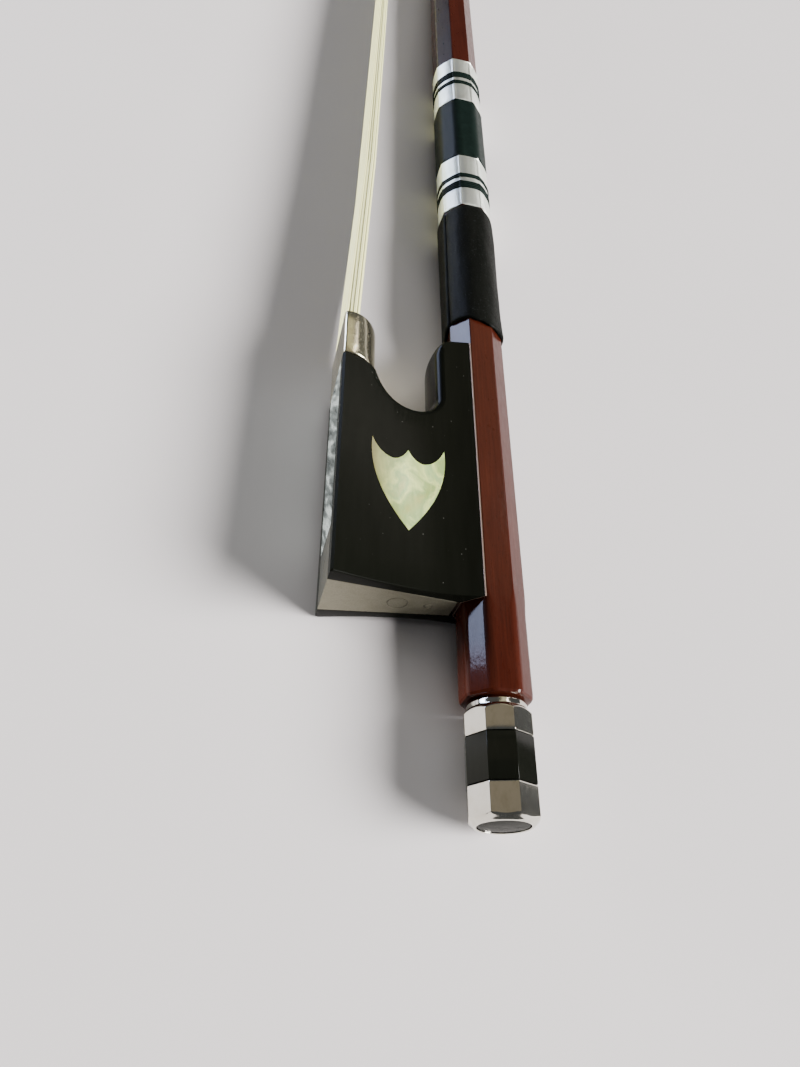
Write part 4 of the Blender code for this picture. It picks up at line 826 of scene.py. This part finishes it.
def make_sleeve(name, start, end, outer, material, cad, radius=0.8, dome=0.0):
    """A wound sleeve with softly rounded ends."""
    inner = 4.49
    lip = min(0.12, outer - inner - 0.02)
    profile = [(start, inner), (start, outer - lip), (start + lip, outer)]
    steps = max(6, int((end - start) / 0.8))
    for step in range(1, steps):
        share = step / steps
        y = start + lip + (end - start - 2 * lip) * share
        profile.append((y, outer + dome * sin(pi * share)))
    profile += [(end - lip, outer), (end, outer - lip), (end, inner)]

    def wave(angle, y):
        spot = Vector((cos(angle), y * 0.25, sin(angle)))
        return 0.0, 0.018 * noise.noise(spot)
    rings = sleeve_rings(profile, radius, wave)
    sleeve = add_mesh(name, *tube(rings), 40)
    return seat(sleeve, "stick", material, [cad])


def make_stripe(name, start, length, threads, cad, seed):
    """A stripe of thin threads wound over the foil, a little wavy."""
    base = 4.69
    step = length / threads
    profile = [(start, base)]
    for thread in range(threads):
        low = start + thread * step
        for share, high in ((0.06, 0.05), (0.25, 0.13), (0.5, 0.16), (0.75, 0.13), (0.94, 0.05)):
            profile.append((low + step * share, base + high))
    profile.append((start + length, base))
    profile += [(start + length, 4.60), (start, 4.60)]

    def wave(angle, y):
        spot = Vector((cos(angle) * 1.4, seed * 7.3, sin(angle) * 1.4))
        return 0.16 * noise.noise(spot), 0.0
    rings = sleeve_rings(profile, 3.7, wave)
    stripe = add_mesh(name, *tube(rings), 60)
    return seat(stripe, "stick", SILK, [cad])


# Frog, whose own Y starts at its heel

def slide_face(y):
    return -(FACE_HEEL + (FACE_FRONT - FACE_HEEL) * y / FROG_LENGTH)


def slide_half(y):
    return (8.2 + (9.8 - 8.2) * y / FROG_LENGTH) / 2


def cheek_x(offset):
    return CHEEK_HALF - sqrt(2) * offset


def side_half(x, y):
    """Half the frog's thickness, hollow between the slide and the cheeks."""
    if x > -WAIST_DROP:
        share = (x + WAIST_DROP) / (cheek_x(CHANNEL) + WAIST_DROP)
        return WAIST_HALF + (CHEEK_HALF - WAIST_HALF) * share ** 2
    edge = 13.1 + (12.8 - 13.1) * y / FROG_LENGTH
    share = (x + WAIST_DROP) / (slide_face(y) + WAIST_DROP)
    return WAIST_HALF + (edge / 2 - WAIST_HALF) * share ** 1.6


def frog_section(y, inset, edge=0.4):
    """The frog's section, with a rounded lower edge and narrowed by an inset."""
    low = slide_face(y)
    high = cheek_x(CHANNEL)
    wide = side_half(low + edge, y) - inset
    side = [(low, wide - 0.6 * edge)]
    for step in range(31):
        x = low + edge + (high - low - edge) * step / 30
        side.append((x, side_half(x, y) - inset))
    corner = CHANNEL * tan(HALF_EIGHTH)
    middle = [(-CHANNEL, corner), (-CHANNEL, -corner)]
    return side + middle + [(x, -z) for x, z in reversed(side)]


def grown(outline, gap):
    """A clockwise outline with every edge moved outwards by a gap."""
    count = len(outline)
    points = []
    for i in range(count):
        before = Vector(outline[i - 1])
        here = Vector(outline[i])
        after = Vector(outline[(i + 1) % count])
        first = (here - before).normalized()
        second = (after - here).normalized()
        out = Vector((-first.y - second.y, first.x + second.x)).normalized()
        lean = max(0.5, out.dot(Vector((-first.y, first.x))))
        points.append(tuple(here + out * gap / lean))
    return points


def throat_outline():
    """The thumb hollow and the nose over it in the frog's middle, as (x, y) points."""
    floor = THROAT_FLOOR
    radius = THROAT_CORNER
    beyond = FERRULE_FRONT + 3
    nose = [(-NOSE_TOP, FROG_LENGTH), (-THROAT_ROOF, FROG_LENGTH),
            (-THROAT_ROOF, FROG_LENGTH - NOSE_ROUNDING)]
    points = [(-NOSE_TOP, beyond)]
    points += [tuple(point) for point in curve_points(nose, 14)]
    for step in range(11):
        angle = pi / 2 * step / 10
        points.append((-THROAT_ROOF - radius + radius * cos(angle),
                       floor + radius - radius * sin(angle)))
    sweep = [(-THROAT_ROOF - radius, floor), (CROWN + THROAT_SWEEP, floor),
             (CROWN, FERRULE_REAR - 0.4)]
    points += [tuple(point) for point in curve_points(sweep, 20)[1:]]
    points.append((CROWN, beyond))
    return points


def throat_growth(share):
    """How much wider the hollow is at a share of the way from the middle to the side."""
    depth = WAIST_HALF * (1 - share)
    growth = THROAT_CROWN * share ** 2
    if depth < THROAT_EDGE:
        growth += THROAT_EDGE - sqrt(THROAT_EDGE ** 2 - (THROAT_EDGE - depth) ** 2)
    return growth


def throat_cutter():
    """The thumb hollow, crowned inside and with edges that round into the frog's sides."""
    outline = throat_outline()
    turn = sum(a[0] * b[1] - b[0] * a[1] for a, b in zip(outline, outline[1:] + outline[:1]))
    sign = 1 if turn < 0 else -1
    shares = [0.0, 0.2, 0.4, 0.55, 0.68, 0.74, 0.79, 0.84, 0.88, 0.92, 0.95, 0.98, 1.0, 1.6]
    rings = []
    for share in [-s for s in reversed(shares[1:])] + shares:
        shape = grown(outline, sign * throat_growth(min(1.0, abs(share))))
        for i in range(12):
            kept = min(1.0, max(0, i - 1) / 10)
            shape[i] = tuple(a + (b - a) * kept for a, b in zip(outline[i], shape[i]))
        ring = []
        for x, y in shape:
            near = min(max(x, slide_face(0)), cheek_x(CHANNEL))
            ring.append(Vector((x, y, share * side_half(near, min(y, FROG_LENGTH)))))
        rings.append(ring)
    return loft(rings)


def arch(flat, base, crown, half_width, steps=36):
    points = [(flat, half_width)]
    for step in range(steps + 1):
        angle = pi * step / steps
        points.append((base + (crown - base) * sin(angle), half_width * cos(angle)))
    points.append((flat, -half_width))
    return points


def ferrule_outline(inset):
    return arch(-FACE_FRONT + inset, -FACE_FRONT + 0.8 + inset, CROWN - inset, 6.4 - inset)


def tongue_cutter():
    """What rounds the frog towards the ferrule and steps it down inside it."""
    start = THROAT_FLOOR + 0.4
    beyond = FERRULE_FRONT + 3
    high = -THROAT_ROOF - THROAT_CORNER
    wide = arch(-FACE_HEEL - 2, -FACE_FRONT + 0.8, high - 0.3, 6.55 + 1.5)
    count = len(wide)
    reach = 13.1
    frame_ = [(-FACE_HEEL - 4, reach)]
    for step in range(count - 2):
        frame_.append((high, reach - 2 * reach * step / (count - 3)))
    frame_.append((-FACE_HEEL - 4, -reach))
    inner = [across(wide, start)]
    for step in range(1, 10):
        share = step / 10
        blend = [(a[0] + (b[0] - a[0]) * share, a[1] + (b[1] - a[1]) * share)
                 for a, b in zip(wide, ferrule_outline(0.0))]
        inner.append(across(blend, start + (FERRULE_REAR - start) * share ** 0.8))
    inner += [across(ferrule_outline(0.0), FERRULE_REAR),
              across(ferrule_outline(0.6), FERRULE_REAR), across(ferrule_outline(0.6), beyond)]
    outer = [across(frame_, start), across(frame_, beyond)]
    return tube(outer + inner[::-1])


def slide_groove():
    rings = []
    for y in (8.0, FERRULE_FRONT + 2):
        half = slide_half(y) + 0.1
        near = slide_face(y) - 2
        deep = slide_face(y) + 1.4
        rings.append(across([(near, half), (deep, half + 0.4), (deep, -half - 0.4), (near, -half)],
                            y))
    return loft(rings)


def plate_shape(gap, rear, proud, top, leg=8.0, thick=0.8):
    """The angled heel plate, grown by a gap inside the frog."""
    thick += gap
    leg += gap
    slope = (1.9 - slide_half(0)) / (FACE_HEEL - CHANNEL)

    def half(x, y):
        if y > thick:
            return slide_half(y) + gap
        return slide_half(0) + slope * (x - slide_face(0)) + gap
    corners = [(slide_face(0) - proud, rear), (slide_face(leg) - proud, leg),
               (slide_face(leg) + thick, leg), (slide_face(thick) + thick, thick),
               (top, thick), (top, rear)]
    vertices = [Vector((x, y, half(x, y))) for x, y in corners]
    vertices += [Vector((x, y, -half(x, y))) for x, y in corners]
    faces = [(0, 1, 2, 3), (0, 3, 4, 5), (6, 7, 8, 9), (6, 9, 10, 11)]
    for i in range(6):
        j = (i + 1) % 6
        faces.append((i, j, 6 + j, 6 + i))
    return vertices, faces


def shield_outline(grow):
    half = 5.3
    height = 14.2
    tip = (half, 0.0)
    notch = (2.25, -2.9)
    side = [tip, (half * 1.10, -height * 0.42), (half * 0.62, -height * 0.72), (0.0, -height)]
    top = [tip, (half * 0.80, notch[1] * 0.9), notch]
    rise = [notch, (notch[0] * 0.4, notch[1] * 0.95), (0.0, -0.9)]
    right = [tuple(point) for point in curve_points(side, 22)]
    upper = [tuple(point) for point in curve_points(rise, 8)[::-1]]
    upper += [tuple(point) for point in curve_points(top, 12)[::-1][1:-1]]
    loop = upper + right
    loop += [(-x, y) for x, y in reversed(loop[1:-1])]
    return [(x - 12.05, y + 22.8) for x, y in grown(loop, grow)]


def side_slab(low, high, side):
    """A slab that follows the frog's hollow side between two depths."""
    rings = []
    for y in (0.0, FROG_LENGTH):
        curve = [(x, side_half(x, y)) for x in
                 [slide_face(y) + (cheek_x(CHANNEL) - slide_face(y)) * i / 40 for i in range(41)]]
        under = [(x, side * (z + low)) for x, z in curve]
        over = [(x, side * (z + high)) for x, z in reversed(curve)]
        rings.append(across(under + over, y))
    return loft(rings)


def shield_prism(grow, side):
    rings = [[Vector((x, y, z)) for x, y in shield_outline(grow)]
             for z in (side * 2.0, side * 13.1)]
    return loft(rings)


def make_frog():
    rings = []
    heel = 0.3
    for step in range(6):
        angle = pi / 2 * step / 6
        rings.append(across(frog_section(0.0, heel * 0.55 * (1 - sin(angle))),
                            heel * (1 - cos(angle))))
    for step in range(13):
        y = heel + (FROG_LENGTH - heel) * step / 12
        rings.append(across(frog_section(y, 0.0), y))
    body = add_mesh("frog_ebony", *loft(rings))
    carve(body, throat_cutter())
    carve(body, tongue_cutter())
    carve(body, slide_groove())
    carve(body, plate_shape(0.1, -2.0, 2.0, -CHANNEL + 2))
    carve(body, box((-FACE_HEEL - 2, FERRULE_REAR, -13), (-19.45, FERRULE_FRONT + 2, 13)))
    carve(body, box((-FACE_HEEL, 25, -4.9), (-19.45, FERRULE_REAR + 2, 4.9)))
    carve(body, box((-FACE_HEEL, 16, -3.3), (-13, 27, 3.3)))
    for side in (1, -1):
        pocket = add_mesh("pocket", *shield_prism(0.06, side))
        carve(pocket, side_slab(-0.6, 2.0, side), "INTERSECT")
        shape = ([v.co.copy() for v in pocket.data.vertices],
                 [tuple(p.vertices) for p in pocket.data.polygons])
        carve(body, shape)
        mesh = pocket.data
        bpy.data.objects.remove(pocket)
        bpy.data.meshes.remove(mesh)
    shade(body, 26)
    return seat(body, "frog", EBONY, ["frog_body"], FROG)


def make_shields():
    for side, name in ((1, "upper"), (-1, "lower")):
        shield = add_mesh("pearl_shield_" + name, *side_slab(-0.5, 0.0, side))
        carve(shield, shield_prism(0.0, side), "INTERSECT")
        soften(shield, 0.04, 1, 50)
        shade(shield, 30)
        seat(shield, "frog", PEARL, ["shield_inlay_" + name], FROG)


def lining_section(offset, half):
    """A line that follows three faces of the stick at an offset, out to a half width."""
    corner = offset * tan(HALF_EIGHTH)
    reach = half - sqrt(2) * offset
    return [(reach, half), (-offset, corner), (-offset, -corner), (reach, -half)]


def make_lining():
    """The thin bent sheet of the frog's channel."""
    near = lining_section(4.5, CHEEK_HALF)
    far = lining_section(4.5 + LINING, CHEEK_HALF)
    rings = [across(near + far[::-1], y) for y in (0.02, FROG_LENGTH - 0.02)]
    lining = add_mesh("lining_sheet", *loft(rings, False))
    return seat(lining, "frog", LINING_METAL, ["frog_lining"], FROG)


def make_ferrule():
    rear = FERRULE_REAR + 0.1
    front = FERRULE_FRONT
    levels = [(rear, 0.12), (rear + 0.05, 0.03), (rear + 0.14, 0.0)]
    levels += [(rear + (front - rear) * share, 0.0) for share in (0.25, 0.5, 0.75)]
    levels += [(front - 0.22, 0.0), (front - 0.07, 0.05), (front, 0.18), (front, 0.34),
               (front - 0.08, 0.47), (front - 0.2, 0.5), (rear, 0.5)]
    rings = [across(soft_arch(inset), y) for y, inset in levels]
    ferrule = add_mesh("ferrule_arch", *tube(rings), 40)
    return seat(ferrule, "frog", FERRULE_METAL, ["ferrule"], FROG)


def soft_arch(inset, radius=0.45):
    """The ferrule's section with rounded lower corners."""
    flat = -FACE_FRONT + inset
    base = -FACE_FRONT + 0.8 + inset
    crown = CROWN - inset
    half = 6.4 - inset
    left = [(flat + radius * (1 - cos(angle)), half - radius * (1 - sin(angle)))
            for angle in [pi / 2 * step / 5 for step in range(6)]]
    points = list(left)
    steps = 48
    for step in range(1, steps):
        angle = pi * step / steps
        points.append((base + (crown - base) * sin(angle), half * cos(angle)))
    points += [(x, -z) for x, z in reversed(left)]
    return points


# Button

BUTTON_ROLL = 15.0
BUTTON_HALF = 4.1
CORNER_STEPS = (-18.5, -14.5, -10.5, -7.0, -4.0, -2.0, -1.0, -0.5, -0.25, 0.0,
                0.25, 0.5, 1.0, 2.0, 4.0, 7.0, 10.5, 14.5, 18.5, 22.5)


def facet_body(name, profile, material, cad):
    """A piece of the button from a profile that depends on the octagon's reach."""
    spokes = []
    for corner in range(8):
        for step in CORNER_STEPS:
            angle = radians(BUTTON_ROLL + step) + HALF_EIGHTH + EIGHTH * corner
            spokes.append((angle, spoke(radians(step), BUTTON_HALF, 0.10)))
    lines = [profile(reach) for angle, reach in spokes]
    rings = []
    for place in range(len(lines[0])):
        ring = []
        for (angle, reach), line in zip(spokes, lines):
            y, radius = line[place]
            ring.append(Vector((radius * cos(angle), y, radius * sin(angle))))
        rings.append(ring)
    piece = add_mesh(name, *tube(rings), 38)
    return seat(piece, "screw", material, cad)


def front_ring_profile(reach):
    """From the bore over the collar and a turned cone to the flats, as (y, radius) points."""
    foot = Vector((-1.22, 3.90))
    crest = Vector((foot.x - (reach - foot.y) / 0.85, reach))
    cone = [tuple(foot.lerp(crest, share)) for share in (0.0, 0.35, 0.7, 0.88)]
    collar = [(-2.6, 1.55), (-0.3, 1.55), (-0.3, 3.56), (-0.33, 3.68), (-0.42, 3.77),
              (-0.56, 3.80), (-1.02, 3.81), (-1.14, 3.84)]
    flat = [(crest.x - 0.03, reach), (crest.x - 0.12, reach), (-3.0, reach), (-4.4, reach),
            (-4.52, reach - 0.02), (-4.58, reach - 0.07), (-4.6, reach - 0.16)]
    return collar + cone + flat + [(-4.6, 3.1), (-2.6, 3.1)]


def core_profile(reach):
    return [(-2.7, 1.55), (-2.7, 3.0), (-4.7, 3.0), (-4.7, reach - 0.12),
            (-4.73, reach - 0.04), (-4.82, reach), (-7.5, reach), (-10.28, reach),
            (-10.37, reach - 0.04), (-10.4, reach - 0.12), (-10.4, 3.0), (-13.7, 3.0),
            (-13.7, 0.6), (-10.45, 0.6), (-10.45, 1.55)]


def rear_ring_profile(reach):
    """From the core over the flats and a turned bevel to the eye's seat."""
    crest = Vector((-14.25 + (reach - BUTTON_HALF) * 0.85, reach))
    tip = Vector((-14.60, 3.70))
    cone = [tuple(crest.lerp(tip, share)) for share in (0.12, 0.4, 0.7, 1.0)]
    flat = [(-10.5, 3.2), (-10.5, reach - 0.16), (-10.52, reach - 0.07), (-10.58, reach - 0.02),
            (-10.7, reach), (-12.5, reach), (crest.x + 0.12, reach), (crest.x + 0.03, reach)]
    return flat + cone + [(-14.72, 3.60), (-14.79, 3.48), (-14.8, 3.34), (-14.76, 3.22),
                          (-14.6, 3.2)]


def make_eye():
    levels = [(-14.0, 0.0), (-14.0, 3.1), (-14.62, 3.1), (-14.68, 3.04)]
    for share in (0.9, 0.7, 0.45, 0.2, 0.0):
        levels.append((-14.68 - 0.10 * (1 - share ** 2), 3.04 * share))
    rings = [across(circle(max(radius, 0.001), 64), y) for y, radius in levels]
    eye = add_mesh("button_eye_dressed", *loft(rings), 40)
    return seat(eye, "screw", EYE_PEARL, ["button_eye"])


# Hair

def make_hair():
    """Single hairs from inside the ferrule to the pocket of the head."""
    source = random.Random(11)
    start = hair_start()
    knot = head_point(11.0 - 1.6, FACE_DROP + 2.4)
    vertices = []
    faces = []
    runs = 16
    places = [(row, (number + 0.5 * (row + 1)) / 23 - 1) for row in (-1, 0, 1)
              for number in range(46)]
    for layer, spread in places:
        across_ = min(1.0, spread + source.uniform(-0.02, 0.02))
        scatter = source.uniform(-0.5, 0.5)
        limp = source.uniform(-0.10, 0.10)
        drift = source.uniform(-0.08, 0.08)
        radius = source.uniform(0.28, 0.31)
        phase = source.uniform(0, 2 * pi)
        path = [Vector((start.x + layer * 0.38, HEEL + 30.0, across_ * 4.3)),
                Vector((start.x + layer * 0.42, HEEL + 38.0, across_ * 4.7))]
        for step in range(runs + 1):
            share = step / runs
            middle = start.lerp(knot, share)
            width = 5.0 + (2.45 - 5.0) * share
            thick = 0.27 + 0.36 * exp(-share / 0.25)
            lean = 1.0 * (1 - exp(-share / 0.03)) * (1 - share) ** 3
            swing = sin(pi * share)
            side = across_ * width + swing * (drift + 0.12 * sin(phase + 9 * share))
            if side < 0:
                side *= 1 + 0.22 * (1 - exp(-share / 0.03)) * sqrt(1 - share)
            deep = (layer + scatter) * thick + swing * limp + lean
            path.append(middle + Vector((1, 0, 0)) * deep + Vector((0, 0, side)))
        path.append(head_point(9.6, FACE_DROP - 1.2, across_ * 2.2) + FORWARD * layer * 0.4)
        first = len(vertices)
        for i, point in enumerate(path):
            before = path[max(0, i - 1)]
            after = path[min(len(path) - 1, i + 1)]
            along = (after - before).normalized()
            aside = Vector((0, 0, 1)).cross(along).normalized()
            third = along.cross(aside)
            for side in range(4):
                angle = pi / 4 + pi / 2 * side
                vertices.append(point + radius * (aside * cos(angle) + third * sin(angle)))
        for ring in range(len(path) - 1):
            for i in range(4):
                j = (i + 1) % 4
                low = first + ring * 4
                faces.append((low + i, low + j, low + 4 + j, low + 4 + i))
        last = first + 4 * (len(path) - 1)
        faces.append((first, first + 1, first + 2, first + 3))
        faces.append((last, last + 1, last + 2, last + 3))
    hair = add_mesh("hair_strands", vertices, faces)
    hair.data.shade_smooth()
    seat(hair, None, HAIR, ["hair_ribbon"])
    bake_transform(hair)
    hair.visible_diffuse = False
    return hair


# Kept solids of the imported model

def dress(name, material, edge=None):
    obj = frame["nodes"][name]
    if not obj.material_slots:
        obj.data.materials.append(material)
    for slot in obj.material_slots:
        slot.material = material
    if edge:
        modifier = obj.modifiers.new("soft_edges", "BEVEL")
        modifier.width = edge * 0.001
        modifier.segments = 2
        modifier.limit_method = "ANGLE"
        modifier.angle_limit = radians(35)


# Surroundings

def add_floor():
    floor = bpy.data.objects.new("floor", bpy.data.meshes.new("floor"))
    half = 3.0
    floor.data.from_pydata([(-half, -half, 0), (half, -half, 0), (half, half, 0),
                            (-half, half, 0)], [], [(0, 1, 2, 3)])
    bpy.context.scene.collection.objects.link(floor)
    floor.data.materials.append(floor_material())
    floor.location.z = -0.00002


def add_light(name, azimuth, elevation, distance, size, radiance, colour, shape="RECTANGLE"):
    """A soft light that looks at the frog, by its place in degrees and its brightness."""
    data = bpy.data.lights.new(name, "AREA")
    data.shape = shape
    data.size = size[0]
    data.size_y = size[1]
    area = size[0] * size[1] * (pi / 4 if shape == "ELLIPSE" else 1.0)
    data.energy = pi * area * radiance
    data.color = colour
    light = bpy.data.objects.new(name, data)
    bpy.context.scene.collection.objects.link(light)
    away = Vector((cos(radians(azimuth)) * cos(radians(elevation)),
                   sin(radians(azimuth)) * cos(radians(elevation)), sin(radians(elevation))))
    light.location = BOW @ Vector((-6, 60, 3)) + away * distance
    light.rotation_mode = "QUATERNION"
    light.rotation_quaternion = away.to_track_quat("Z", "Y")
    return light


def add_world():
    """A dim, even studio round the bow."""
    world = bpy.data.worlds.new("studio")
    world.use_nodes = True
    world.node_tree.nodes["Background"].inputs["Color"].default_value = (0.080, 0.083, 0.086, 1)
    bpy.context.scene.world = world


def add_surroundings():
    add_floor()
    add_world()
    add_light("key", -15, 31, 4.0, (2.8, 1.8), 54.5, (1.0, 0.98, 0.975), "ELLIPSE")
    low = add_light("left_fill", 150, 1.6, 2.9, (1.6, 0.12), 640, (1.0, 0.98, 0.92))
    low.visible_glossy = False
    fill = add_light("top_fill", 60, 78, 2.5, (2.0, 2.0), 0.66, (0.98, 1.0, 1.0))
    fill.visible_glossy = False
    mirrored = [
        add_light("left_panel", 137, 16, 1.5, (1.0, 0.44), 20, (0.58, 0.68, 1.0)),
        add_light("left_card", 169, 4.5, 1.5, (0.68, 0.20), 0.95, (0.92, 1.0, 0.95)),
        add_light("overhead", 98, 69, 1.6, (1.1, 0.62), 0.19, (1.0, 0.80, 0.50)),
        add_light("ahead", 69, 47, 1.5, (0.84, 0.50), 0.70, (1.0, 0.93, 0.62)),
        add_light("strip", 52.3, 38.4, 1.5, (0.10, 0.5), 8.0, (1.0, 0.92, 0.86)),
    ]
    for light in mirrored:
        light.visible_diffuse = False


def add_camera():
    data = bpy.data.cameras.new("camera")
    data.sensor_width = 36.0
    data.lens = 27.88
    data.clip_start = 0.001
    data.clip_end = 20.0
    camera = bpy.data.objects.new("camera", data)
    bpy.context.scene.collection.objects.link(camera)
    right = Vector((0.973345820, -0.000144340644, 0.229342308))
    up = Vector((-0.12366985, 0.84182364, 0.52539388))
    back = Vector((-0.19314161, -0.53975266, 0.81936767))
    turn = Matrix((right, up, back)).transposed().to_4x4()
    camera.matrix_world = PLACE @ Matrix.Translation(
        Vector((-34.001, -37.486, 92.364)) * 0.001) @ turn
    bpy.context.scene.camera = camera


def build():
    add_camera()
    make_stick()
    face_sheet("head_liner_dressed", 0.1, 0.6, EBONY, "head_liner")
    face_sheet("head_plate_dressed", 0.8, 0.9, BONE, "head_plate")
    make_leather()
    make_sleeve("grip_foil_rear_wound", 92.4, 107.1, 4.69, FOIL, "grip_foil_rear",
                3.7)
    make_sleeve("grip_centre_wound", 107.2, 126.2, 4.72, SILK, "grip_centre_band",
                2.6, 0.02)
    make_sleeve("grip_foil_front_wound", 126.3, 141.4, 4.69, FOIL,
                "grip_foil_front", 4.4)
    for name, threads, seed in (("rear_wide", 4, 1), ("rear_narrow", 2, 2),
                                ("front_narrow", 2, 3), ("front_wide", 4, 4)):
        cad = "grip_stripe_" + name
        low = (BOW.inverted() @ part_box(cad)[0]).y
        high = (BOW.inverted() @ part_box(cad)[1]).y
        make_stripe("stripe_" + name, low, high - low, threads, cad, seed)
    make_frog()
    make_shields()
    make_lining()
    make_ferrule()
    facet_body("button_front_ring_dressed", front_ring_profile, BUTTON_METAL,
               ["button_front_ring", "ring_pin_front_1", "ring_pin_front_2"])
    facet_body("button_core_dressed", core_profile, POLISHED_EBONY,
               ["button_core"])
    facet_body("button_rear_ring_dressed", rear_ring_profile, BUTTON_METAL,
               ["button_rear_ring", "ring_pin_rear_1", "ring_pin_rear_2"])
    make_eye()
    make_hair()
    kept = {"head_plug": BOXWOOD, "hair_head_knot": THREAD, "heel_plate": PLATE,
            "heel_pin_upper": PLATE, "heel_pin_lower": PLATE, "heel_pin_leg": PLATE,
            "lining_pin_rear": NICKEL, "lining_pin_front": NICKEL,
            "ferrule_wedge": BOXWOOD, "frog_plug": BOXWOOD, "hair_frog_knot": THREAD,
            "frog_slide_pearl": SLIDE_PEARL, "frog_slide_backing": EBONY, "eyelet": BRASS,
            "screw_shaft": STEEL}
    edges = {"heel_plate": 0.10, "frog_slide_pearl": 0.06}
    for name, material in kept.items():
        dress(name, material, edges.get(name))
    add_surroundings()


build()
